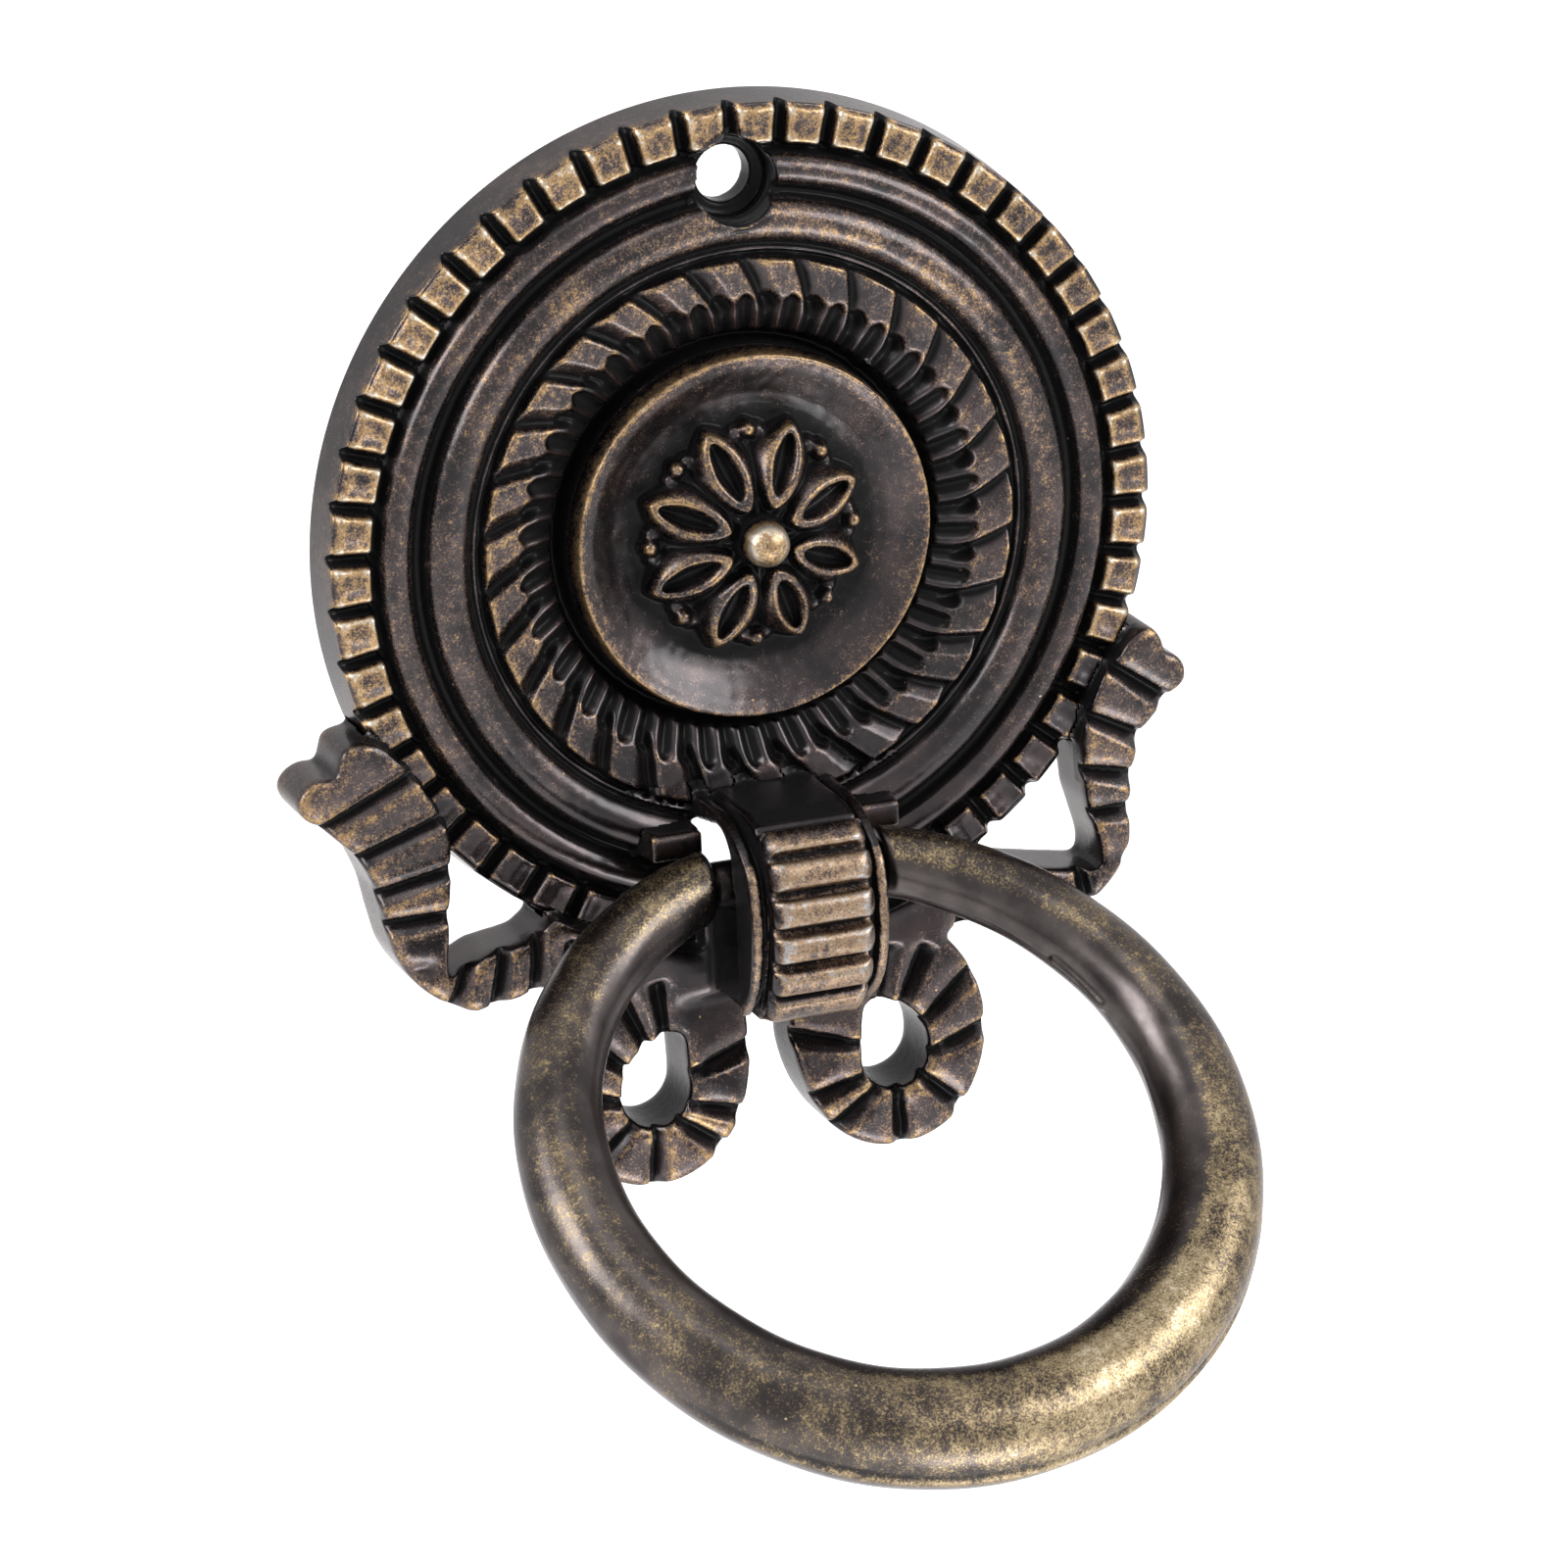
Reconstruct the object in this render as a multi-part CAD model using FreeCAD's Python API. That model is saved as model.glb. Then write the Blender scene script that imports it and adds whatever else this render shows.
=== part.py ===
import FreeCAD, Part
import math
import os

os.makedirs("parts", exist_ok=True)

# A ring pull handle in millimetres: a cast plate with a ribbon bow and a ribbed knuckle,
# and a ring that swings on two spigots behind the knuckle.
# X points right, Z up, and the front faces -Y. The origin is the middle of the plate's
# back, so "height" is the distance in front of the drawer, and points are (x, height, z).

# Round plate, from the dish outwards: each band begins where the last one ends
dish_radius = 10.15             # crest of the dish's rim
dish_rim_half_width = 0.2
dish_lip_width = 0.75           # from the crest in to the lip
dish_cove_width = 2.4           # from the lip in to the flat floor
moat_width = 0.7
flute_length = 2.3
leaf_length = 2.05
bead_gap = 0.3
bead_width = 0.3
inner_roll_gap = 0.2
inner_roll_width = 2.4
roll_gap = 0.65
outer_roll_width = 1.8
channel_width = 0.45
dentil_length = 2.22
rim_lean = 0.28                 # how much wider the plate is at its back than at its front

# Heights of those bands
dish_rim_height = 4.7
dish_lip_height = 4.35
dish_floor = 3.1
dish_cove_sag = 0.48            # how far the cove hangs below a straight slope
moat_floor = 1.4
flute_foot_height = 2.9
leaf_foot_height = 3.95
leaf_height = 4.15
bead_gap_height = 3.15
bead_height = 3.75
inner_roll_foot = 3.2
inner_roll_height = 4.4
outer_roll_foot = 3.05
outer_roll_height = 3.9
channel_height = 2.6
dentil_height = 3.5

# Cuts all round the plate
dentil_count = 50
dentil_gap = 0.85
dentil_gap_depth = 1.0
dentil_gap_turn = 90.0          # one gap stands at the top
leaf_count = 30
leaf_gap_turn = 5.4             # where a gap meets the leaves' outer ends
leaf_gap_lean = 4.5             # degrees that a gap turns between its outer and inner end
leaf_gap_steep = 0.3            # width of a gap's steep side and of its slope
leaf_gap_slope = 1.05
leaf_gap_depth = 0.6
flute_turn = 5.0
flute_lean = 1.5
flute_radius = 0.5
flute_depth = 0.42

# Back of the plate
back_recess_depth = 0.9
back_rim_width = 2.0
recess_hub_width = 2.25         # the back stays solid this far outside the dish

# Rosette
petal_count = 8
petal_turn = 22.5
petal_inner_radius = 1.7
petal_outer_radius = 6.6
petal_half_width = 1.15
petal_taper = 0.3
petal_dome_height = 5.9         # height of the petals beside the ball
petal_tip_height = 4.3
petal_slot_inner_radius = 2.6
petal_slot_outer_radius = 5.4
petal_slot_half_width = 0.52
petal_slot_floor_half_width = 0.12
petal_slot_floor_inset = 0.4
petal_slot_depth = 0.9
bud_ring_radius = 5.75
bud_radius = 0.5
bud_height = 4.0
stalk_half_width = 0.25
ball_radius = 1.35
ball_top_height = 7.4

# Screw hole at the top
screw_hole_radius = 1.55
counterbore_radius = 2.3
counterbore_floor = 1.6
screw_inset = 4.35              # from the plate's edge

# Ribbon: tails beside the plate, a band below it and two hanging loops
ribbon_height = 4.6
ribbon_width = 4.4
ribbon_inset = 0.4              # how far the band runs in behind the plate's edge
ribbon_groove_radius = 0.42
ribbon_groove_depth = 0.38
loop_radius = 5.6
loop_x = 7.0
loop_drop = 7.0                 # middle of a loop below the plate's edge
loop_hole_rise = 0.3
loop_hole_radius = 2.5
loop_gap = 1.3                  # from the middle of the handle to the loops' necks
loop_neck_rise = 3.0            # from a loop's middle up to its neck
loop_dip_height = 3.3           # the inner strands sink to this height between the loops
loop_dip_x = 1.0
loop_dip_width = 5.4
loop_dip_drop = 2.0             # where the dip starts below the plate's edge
loop_dip_length = 9.0

# The ribbon's two tails, which the casting shapes a little differently. Each point is its turn
# about the plate's middle and how far it lies outside the plate's edge, in ribbon widths.
# Two points together are the middle and the end of an arc.
left_tail = {
    "start": (-22.9, -0.15),
    "outer": [
        ((-20.2, 0.09), (-20.0, 0.38)),
        (-22.8, 0.58),
        ((-21.8, 0.93), (-22.9, 1.15)),
        ((-24.6, 1.17), (-26.6, 1.04)),
        (-32.8, 0.86),
        (-36.9, 0.96),
        (-40.0, 1.14),
        (-43.4, 1.36),
        ((-49.3, 1.51), (-55.2, 1.40)),
        (-58.5, 1.04),
    ],
    "inner": [
        (-56.7, 0.31),
        (-52.4, 0.74),
        (-50.4, 1.24),
        (-46.4, 0.64),
        (-42.0, 0.12),
        ((-38.5, -0.15), (-33.8, -0.27)),
        (-27.9, -0.28),
    ],
    "grooves": [
        ((-27.0, 1.14), (-27.7, -0.40)),
        ((-32.2, 0.98), (-35.8, -0.38)),
        ((-36.8, 1.06), (-42.0, 0.05)),
        ((-39.9, 1.25), (-45.9, 0.50)),
        ((-45.4, 1.48), (-48.1, 1.21)),
        ((-52.6, 1.62), (-51.0, 0.90)),
        ((-57.0, 1.36), (-53.7, 0.55)),
        ((-60.6, 1.02), (-56.7, 0.20)),
        ((-66.1, 0.72), (-61.7, 0.12)),
    ],
}
right_tail = {
    "start": (-25.2, -0.12),
    "outer": [
        ((-21.9, -0.03), (-20.1, 0.14)),
        ((-20.9, 0.32), (-23.0, 0.47)),
        ((-23.3, 0.76), (-25.6, 0.88)),
        (-27.6, 0.77),
        (-33.0, 0.63),
        (-36.6, 0.78),
        (-40.8, 1.06),
        (-43.5, 1.35),
        ((-48.7, 1.55), (-55.2, 1.40)),
        (-58.5, 1.04),
    ],
    "inner": [
        (-56.7, 0.31),
        (-52.0, 0.84),
        (-48.3, 1.34),
        (-46.6, 1.12),
        (-43.3, 0.47),
        (-40.6, 0.19),
        ((-37.0, -0.06), (-32.5, -0.19)),
        (-28.3, -0.23),
    ],
    "grooves": [
        ((-28.1, 0.84), (-26.4, -0.20)),
        ((-33.2, 0.74), (-34.2, -0.25)),
        ((-37.2, 0.92), (-40.9, 0.14)),
        ((-40.3, 1.14), (-45.1, 0.58)),
        ((-45.3, 1.46), (-46.7, 1.30)),
        ((-52.2, 1.66), (-49.6, 1.10)),
        ((-57.0, 1.36), (-53.7, 0.55)),
        ((-60.6, 1.02), (-56.7, 0.20)),
        ((-66.1, 0.72), (-61.7, 0.12)),
    ],
}

# Pivot of the ring
pivot_height = 7.95
pivot_inset = 5.7               # from the plate's edge
spigot_radius = 1.3
spigot_clearance = 0.05
spigot_end_gap = 1.2            # from the middle of the handle to each spigot's end

# Ribbed knuckle over the pivot, set out from a centre behind and below it
knuckle_half_width = 4.0
knuckle_centre_back = 6.4
knuckle_centre_drop = 0.8
knuckle_top_rise = 3.95         # above the pivot
knuckle_bottom_drop = 7.5       # below it
knuckle_foot_height = 1.5       # how deep the knuckle's walls run into the plate
rib_half_width = 2.95
rib_radius = 11.64
rib_bulge = 0.45
rib_first_turn = 17.3
rib_pitch = 10.45
rib_front_count = 5
rib_top_turn = 26.0
rib_top_inset = 1.34
rib_last_turn = -36.9
rib_last_inset = 0.54
rib_gap_radius = 0.3
rib_top_flat = 2.0
rib_top_step = 0.2
rim_width = 0.68
rim_radius = 11.0
rim_flat = 4.45                 # from the centre to where the rim starts to round over
rim_shoulder_inset = 1.85
rim_brow_inset = 0.3
rim_chin_inset = 0.21
rim_foot_inset = 0.54
channel_depth = 0.55

# Lug under the pivot, and the hollow above it that is open at the sides and the back
lug_half_width = 3.5
lug_front = 1.75                # in front of the pivot
lug_lip_drop = 0.6
lug_lip_back = 2.05
hollow_side = 0.2               # how far the hollow passes the knuckle's sides
hollow_back_rise = 2.1
hollow_back_drop = 2.6
hollow_roof_back = 1.55
hollow_roof_rise = 3.0
hollow_roof_foot = 2.4
hollow_roof_slope = 0.2
hollow_front_rise = 1.1
hollow_front_bow = 0.55

# Stop blocks beside the ring's ends
stop_gap = 0.35                 # from the knuckle's side
stop_width = 2.9
stop_thickness = 1.45
stop_draft = 0.3
stop_clearance = 0.215          # from the ring's end tube
stop_corner_turn = 28.3
stop_foot_height = 2.0

# Ring
ring_radius = 17.9
ring_side_gap = 0.9             # from the knuckle's side to the ring's end
ring_end_tube_radius = 2.0
ring_foot_tube_radius = 3.12
ring_swing = 51.0               # degrees outwards from hanging, as the ring is held here
ring_end_round = 0.45
ring_end_overrun = 4.0          # degrees that the tube runs on before its ends are cut square
ring_section_count = 25

# Places derived from the sizes above
dish_lip_radius = dish_radius - dish_lip_width
dish_floor_radius = dish_lip_radius - dish_cove_width
dish_wall_radius = dish_radius + dish_rim_half_width
wreath_inner_radius = dish_wall_radius + moat_width
leaf_inner_radius = wreath_inner_radius + flute_length
leaf_outer_radius = leaf_inner_radius + leaf_length
bead_inner_radius = leaf_outer_radius + bead_gap
bead_outer_radius = bead_inner_radius + bead_width
inner_roll_start = bead_outer_radius + inner_roll_gap
inner_roll_end = inner_roll_start + inner_roll_width
outer_roll_start = inner_roll_end + roll_gap
outer_roll_end = outer_roll_start + outer_roll_width
dentil_inner_radius = outer_roll_end + channel_width
plate_front_radius = dentil_inner_radius + dentil_length
plate_radius = plate_front_radius + rim_lean
recess_hub_radius = dish_radius + recess_hub_width
screw_hole_z = plate_radius - screw_inset
pivot_z = pivot_inset - plate_radius
knuckle_centre = (pivot_height - knuckle_centre_back, pivot_z - knuckle_centre_drop)
knuckle_top_z = pivot_z + knuckle_top_rise
knuckle_bottom_z = pivot_z - knuckle_bottom_drop
loop_z = -plate_radius - loop_drop
loop_dip_top = -plate_radius - loop_dip_drop
ring_end_x = knuckle_half_width + ring_side_gap
ring_drop = math.sqrt(ring_radius ** 2 - ring_end_x ** 2)
saddle_radius = spigot_radius + spigot_clearance
past = 1.0                      # how far cutters reach beyond what they cut


def at(x, height, z):
    return FreeCAD.Vector(x, -height, z)


def polar(radius, degrees):
    angle = math.radians(degrees)
    return (radius * math.cos(angle), radius * math.sin(angle))


def polar_at(radius, height, degrees):
    x, z = polar(radius, degrees)
    return at(x, height, z)


def turned_about_front(shape, degrees):
    turned = shape.copy()
    turned.rotate(at(0, 0, 0), at(0, 1, 0), degrees)
    return turned


def all_round(shape, count, first_degrees=0.0):
    return [turned_about_front(shape, first_degrees + 360.0 * k / count) for k in range(count)]


def mirrored(shape):
    return shape.mirror(at(0, 0, 0), FreeCAD.Vector(1, 0, 0))


def outline(place, start, steps):
    # A step is an end point for a straight run, or a middle point and an end point for an arc.
    edges = []
    here = place(start)
    for step in steps:
        if isinstance(step[0], tuple):
            middle, end = (place(p) for p in step)
            edges.append(Part.Arc(here, middle, end).toShape())
        else:
            end = place(step)
            edges.append(Part.LineSegment(here, end).toShape())
        here = end
    if (here - place(start)).Length > 1e-6:
        edges.append(Part.LineSegment(here, place(start)).toShape())
    return Part.Face(Part.Wire(edges))


def turned(start, steps):
    # Points are (radius, height) from the middle of the plate.
    face = outline(lambda p: at(p[0], p[1], 0), start, steps)
    return face.revolve(at(0, 0, 0), at(0, 1, 0), 360)


def side_extrusion(half_width, start, steps):
    # Points are (height, z), and the solid runs from -half_width to half_width along X.
    face = outline(lambda p: at(-half_width, p[0], p[1]), start, steps)
    return face.extrude(FreeCAD.Vector(2 * half_width, 0, 0))


def front_extrusion(low, high, start, steps):
    # Points are (x, z), and the solid runs from one height to the other.
    face = outline(lambda p: at(p[0], low, p[1]), start, steps)
    return face.extrude(at(0, high - low, 0))


def box(x_range, height_range, z_range):
    corner = at(x_range[0], height_range[1], z_range[0])
    return Part.makeBox(
        x_range[1] - x_range[0], height_range[1] - height_range[0], z_range[1] - z_range[0], corner
    )


def rod(start, end, radius):
    along = end - start
    return Part.makeCylinder(radius, along.Length, start, along)


def front_cylinder(radius, low, high, x, z):
    return Part.makeCylinder(radius, high - low, at(x, low, z), at(0, 1, 0))


def roll(start_radius, end_radius, top, foot):
    # An arc step over a round moulding, from its outer foot to its inner one.
    return (((start_radius + end_radius) / 2, top), (start_radius, foot))


def mouldings():
    cove_middle = ((dish_lip_radius + dish_floor_radius) / 2,
                   (dish_lip_height + dish_floor) / 2 - dish_cove_sag)
    crest_foot = dish_rim_height - dish_rim_half_width
    return turned((0, 0), [
        (plate_radius, 0),
        (plate_front_radius, dentil_height),
        (dentil_inner_radius, dentil_height),
        (dentil_inner_radius, channel_height),
        (outer_roll_end, channel_height),
        (outer_roll_end, outer_roll_foot),
        roll(outer_roll_start, outer_roll_end, outer_roll_height, outer_roll_foot),
        (inner_roll_end, outer_roll_foot),
        (inner_roll_end, inner_roll_foot),
        roll(inner_roll_start, inner_roll_end, inner_roll_height, inner_roll_foot),
        (bead_outer_radius, inner_roll_foot),
        (bead_outer_radius, bead_height),
        (bead_inner_radius, bead_height),
        (bead_inner_radius, bead_gap_height),
        (leaf_outer_radius, bead_gap_height),
        (leaf_outer_radius, leaf_height),
        (leaf_inner_radius, leaf_foot_height),
        (wreath_inner_radius, flute_foot_height),
        (wreath_inner_radius, moat_floor),
        (dish_wall_radius, moat_floor),
        (dish_wall_radius, crest_foot),
        ((dish_radius, dish_rim_height), (dish_radius - dish_rim_half_width, crest_foot)),
        (dish_lip_radius, dish_lip_height),
        (cove_middle, (dish_floor_radius, dish_floor)),
        (0, dish_floor),
    ])


def dentil_gaps():
    gap = box(
        (dentil_inner_radius, plate_radius + past),
        (dentil_height - dentil_gap_depth, dentil_height + past),
        (-dentil_gap / 2, dentil_gap / 2),
    )
    return all_round(gap, dentil_count, dentil_gap_turn)


def leaf_gaps():
    # Each gap is a slanted valley with one steep side and one sloping side.
    floor = leaf_height - leaf_gap_depth
    inner = polar_at(leaf_inner_radius - past / 2, floor, leaf_gap_turn - leaf_gap_lean)
    along = polar_at(leaf_outer_radius + past / 4, floor, leaf_gap_turn) - inner
    across = FreeCAD.Vector(-along.z, 0, along.x).normalize()
    stretch = 1 + past / leaf_gap_depth
    above = inner + at(0, leaf_gap_depth + past, 0)
    steep = above + across * (leaf_gap_steep * stretch)
    slope = above - across * (leaf_gap_slope * stretch)
    gap = Part.Face(Part.makePolygon([inner, steep, slope, inner])).extrude(along)
    return all_round(gap, leaf_count)


def flutes():
    rise = flute_radius - flute_depth
    inner = polar_at(wreath_inner_radius - past / 2, flute_foot_height + rise, flute_turn - flute_lean)
    outer = polar_at(leaf_inner_radius, leaf_foot_height + rise, flute_turn)
    flute = rod(inner, outer, flute_radius)
    return all_round(flute, 2 * leaf_count)


def pointed_oval(inner, outer, half_width, height):
    middle = (inner + outer) / 2
    start = at(inner, height, 0)
    end = at(outer, height, 0)
    upper = Part.Arc(start, at(middle, height, half_width), end)
    lower = Part.Arc(end, at(middle, height, -half_width), start)
    return Part.Wire([upper.toShape(), lower.toShape()])


def petal():
    low = dish_floor - past / 2
    high = petal_dome_height + past / 2
    return Part.makeLoft([
        pointed_oval(petal_inner_radius, petal_outer_radius, petal_half_width, low),
        pointed_oval(petal_inner_radius + petal_taper, petal_outer_radius - petal_taper,
                     petal_half_width - petal_taper, high),
    ], True)


def petal_slot():
    fall = (petal_dome_height - petal_tip_height) / (petal_outer_radius - petal_inner_radius)
    slot_length = petal_slot_outer_radius - petal_slot_inner_radius
    mouth_height = petal_dome_height - fall * (petal_slot_inner_radius - petal_inner_radius)
    slot = Part.makeLoft([
        pointed_oval(petal_slot_floor_inset, slot_length - petal_slot_floor_inset,
                     petal_slot_floor_half_width, -petal_slot_depth),
        pointed_oval(0, slot_length, petal_slot_half_width, past),
    ], True)
    slot.rotate(at(0, 0, 0), FreeCAD.Vector(0, 0, 1), math.degrees(math.atan(fall)))
    slot.translate(at(petal_slot_inner_radius, mouth_height, 0))
    return slot


def rosette():
    foot = dish_floor - past / 2
    dome = turned((0, foot), [
        (dish_floor_radius, foot),
        (petal_outer_radius + past / 4, petal_tip_height),
        (petal_inner_radius, petal_dome_height),
        (0, petal_dome_height),
    ])
    petals = all_round(petal(), petal_count, petal_turn)
    hub = front_cylinder(ball_radius, dish_floor, ball_top_height - ball_radius, 0, 0)
    ball = Part.makeSphere(ball_radius, at(0, ball_top_height - ball_radius, 0))
    stalk = box((0, bud_ring_radius), (foot, petal_dome_height), (-stalk_half_width, stalk_half_width))
    bud = Part.makeSphere(bud_radius, at(bud_ring_radius, bud_height, 0))
    bud_foot = front_cylinder(bud_radius, dish_floor, bud_height, bud_ring_radius, 0)
    leaves = petals[0].fuse(petals[1:] + all_round(stalk, petal_count)).common(dome)
    leaves = leaves.cut(Part.makeCompound(all_round(petal_slot(), petal_count, petal_turn)))
    buds = all_round(bud.fuse(bud_foot), petal_count)
    return leaves.fuse(buds + [hub, ball])


def screw_hole():
    through = front_cylinder(screw_hole_radius, -past, dentil_height + 2 * past, 0, screw_hole_z)
    mouth = front_cylinder(counterbore_radius, counterbore_floor, dentil_height + past, 0, screw_hole_z)
    return through.fuse(mouth)


def back_recess():
    ring = turned((recess_hub_radius, -past), [
        (plate_radius - back_rim_width, -past),
        (plate_radius - back_rim_width, back_recess_depth),
        (recess_hub_radius, back_recess_depth),
    ])
    around_screw = front_cylinder(counterbore_radius + back_rim_width, -past, back_recess_depth + past,
                                  0, screw_hole_z)
    half = knuckle_half_width + stop_gap + stop_width
    below = box((-half, half), (-past, back_recess_depth + past), (-plate_radius, past - recess_hub_radius))
    return ring.cut(around_screw).cut(below)


def by_plate(degrees, widths):
    # A point of the ribbon: its turn about the plate's middle, and ribbon widths outside its edge.
    return polar(plate_radius + widths * ribbon_width, degrees)


def by_loop(degrees, radii):
    # A point of the ribbon: its turn about a loop's middle, and its distance in loop radii.
    x, z = polar(radii * loop_radius, degrees)
    return (loop_x + x, loop_z + z)


def tail_steps(steps):
    return [tuple(by_plate(*point) for point in step) if isinstance(step[0], tuple) else by_plate(*step)
            for step in steps]


def ribbon_outline(tail):
    edge = plate_radius - ribbon_inset
    return front_extrusion(0, ribbon_height, by_plate(*tail["start"]), [
        *tail_steps(tail["outer"]),
        (by_plate(-61.3, 0.79), by_plate(-67.5, 0.6)),
        (by_loop(8.0, 1.01), by_loop(-53.0, 1.01)),
        (by_loop(-96.0, 1.0), by_loop(-145.0, 0.95)),
        (by_loop(-178.0, 0.99), (loop_gap, loop_z + loop_neck_rise)),
        (loop_gap, knuckle_bottom_z + past),
        (0, knuckle_bottom_z + past),
        (0, -edge),
        (polar(edge, -70), polar(edge, -58)),
        *tail_steps(tail["inner"]),
    ])


def loop_hole():
    x, z = (loop_x, loop_z + loop_hole_rise)

    def rim(degrees, radii):
        dx, dz = polar(radii * loop_hole_radius, degrees)
        return (x + dx, z + dz)

    return front_extrusion(-past, ribbon_height + past, rim(122, 1.28), [
        (rim(47, 0.88), rim(-11, 0.86)),
        (rim(-85, 1.0), rim(198, 0.8)),
    ])


def ribbon_top(x, z):
    # Height of the ribbon's face, which dips between the two loops.
    fall = ribbon_height - loop_dip_height
    dipped = loop_dip_height + fall * (x - loop_dip_x) / loop_dip_width
    dipped = dipped + fall * (loop_dip_top - z) / loop_dip_length
    return min(ribbon_height, dipped) if z < loop_dip_top else ribbon_height


def ribbon_groove(start, end):
    rise = ribbon_groove_radius - ribbon_groove_depth
    ends = [at(x, ribbon_top(x, z) + rise, z) for x, z in (start, end)]
    return rod(ends[0], ends[1], ribbon_groove_radius)


def loop_grooves():
    # Outer and inner turns of each groove about the middle of the loop.
    turns = [
        (163, 157), (201, 209), (224, 238), (275, 277), (317, 316), (10, 353), (42, 42), (72, 84), (93, 110),
    ]
    return [ribbon_groove(by_loop(outer, 1.09), by_loop(inner, 0.54)) for outer, inner in turns]


def loop_dip():
    # What is taken off the inner strands, so that they sink between the loops.
    fall = ribbon_height - loop_dip_height
    side = loop_dip_x + loop_dip_width
    middle_height = loop_dip_height - fall * loop_dip_x / loop_dip_width
    above = ribbon_height + past
    corners = [(0, middle_height), (side, ribbon_height), (side, above), (0, above), (0, middle_height)]
    face = Part.Face(Part.makePolygon([at(x, height, loop_dip_top) for x, height in corners]))
    return face.extrude(at(0, fall, -loop_dip_length))


def ribbon(tail):
    half = ribbon_outline(tail).cut(loop_dip())
    tail_grooves = [ribbon_groove(by_plate(*outer), by_plate(*inner)) for outer, inner in tail["grooves"]]
    half = half.cut(Part.makeCompound(tail_grooves + loop_grooves()))
    return half.cut(loop_hole())


def knuckle_point(degrees, radius):
    height, z = polar(radius, degrees)
    return (knuckle_centre[0] + height, knuckle_centre[1] + z)


def rib_gap_places():
    places = [knuckle_point(rib_top_turn, rib_radius - rib_top_inset)]
    for k in range(rib_front_count):
        places.append(knuckle_point(rib_first_turn - k * rib_pitch, rib_radius))
    places.append(knuckle_point(rib_last_turn, rib_radius - rib_last_inset))
    return places


def bulged(start, end):
    # The middle of an arc that swells out by rib_bulge between two gaps.
    run = (end[0] - start[0], end[1] - start[1])
    length = math.hypot(*run)
    return (
        (start[0] + end[0]) / 2 - run[1] / length * rib_bulge,
        (start[1] + end[1]) / 2 + run[0] / length * rib_bulge,
    )


def knuckle():
    gaps = rib_gap_places()
    top = knuckle_top_z + rib_top_step
    rib_steps = [(gaps[0][0] - rib_top_flat, top), gaps[0]]
    for start, end in zip(gaps, gaps[1:]):
        rib_steps.append((bulged(start, end), end))
    rib_steps.append((knuckle_foot_height, knuckle_bottom_z))
    ribs = side_extrusion(rib_half_width, (knuckle_foot_height, top), rib_steps)
    reach = rib_half_width + past
    gap_rods = [rod(at(-reach, h, z), at(reach, h, z), rib_gap_radius) for h, z in gaps[:-1]]
    ribs = ribs.cut(Part.makeCompound(gap_rods))
    rims = rimmed_band(knuckle_half_width, 0)
    channel = rimmed_band(knuckle_half_width - rim_width, 0)
    core = rimmed_band(knuckle_half_width + past, channel_depth)
    return rims.cut(channel.cut(core)).fuse(ribs)


def rimmed_band(half_width, sunk):
    # The knuckle's side view between its rims, sunk by some depth.
    def on_rim(degrees, inset):
        return knuckle_point(degrees, rim_radius - inset - sunk)

    top = knuckle_top_z - sunk
    bottom = knuckle_bottom_z + rib_top_step + sunk / 2
    return side_extrusion(half_width, (knuckle_foot_height, top), [
        (knuckle_centre[0] + rim_flat - sunk, top),
        (on_rim(26.3, rim_shoulder_inset), on_rim(12.4, rim_brow_inset)),
        (on_rim(-8, 0), on_rim(-23, 0)),
        (on_rim(-28.8, rim_chin_inset), on_rim(-37.0, rim_foot_inset)),
        (knuckle_foot_height, bottom),
    ])


def hollow():
    # Seen from the side: the space that holds the spigots, with their half-round saddle.
    front = pivot_height + saddle_radius
    roof_z = pivot_z + hollow_roof_rise
    back_top = pivot_z + hollow_back_rise
    lip_turn = math.asin(lug_lip_drop / saddle_radius)

    def on_saddle(angle):
        return (pivot_height - saddle_radius * math.cos(angle), pivot_z - saddle_radius * math.sin(angle))

    return side_extrusion(knuckle_half_width + hollow_side, (-past, back_top), [
        (hollow_roof_foot, back_top + hollow_roof_slope),
        (pivot_height - hollow_roof_back, roof_z),
        ((front - hollow_front_bow, roof_z - hollow_front_bow), (front, pivot_z + hollow_front_rise)),
        (front, pivot_z),
        (on_saddle(0.75 * math.pi), on_saddle(0.5 * math.pi)),
        (on_saddle(lip_turn / 2 + math.pi / 4), on_saddle(lip_turn)),
        (pivot_height - lug_lip_back, pivot_z - lug_lip_drop),
        (-past, pivot_z - hollow_back_drop),
    ])


def side_relief():
    # Beside the lug, behind the knuckle's front band.
    return box(
        (lug_half_width, knuckle_half_width + past),
        (ribbon_height, pivot_height + lug_front),
        (knuckle_bottom_z - past, pivot_z),
    )


def stop_block():
    inner_x = knuckle_half_width + stop_gap
    outer_x = inner_x + stop_width
    reach = ring_end_tube_radius + stop_clearance
    turn = math.radians(stop_corner_turn)
    height = pivot_height - reach * math.cos(turn)
    bottom_z = pivot_z + reach * math.sin(turn)
    top_z = bottom_z + stop_thickness

    def rectangle(level, grow):
        corners = [
            at(inner_x, level, bottom_z - grow),
            at(outer_x + grow, level, bottom_z - grow),
            at(outer_x + grow, level, top_z + grow),
            at(inner_x, level, top_z + grow),
        ]
        return Part.makePolygon(corners + corners[:1])

    return Part.makeLoft([rectangle(stop_foot_height, stop_draft), rectangle(height, 0)], True)


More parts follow.
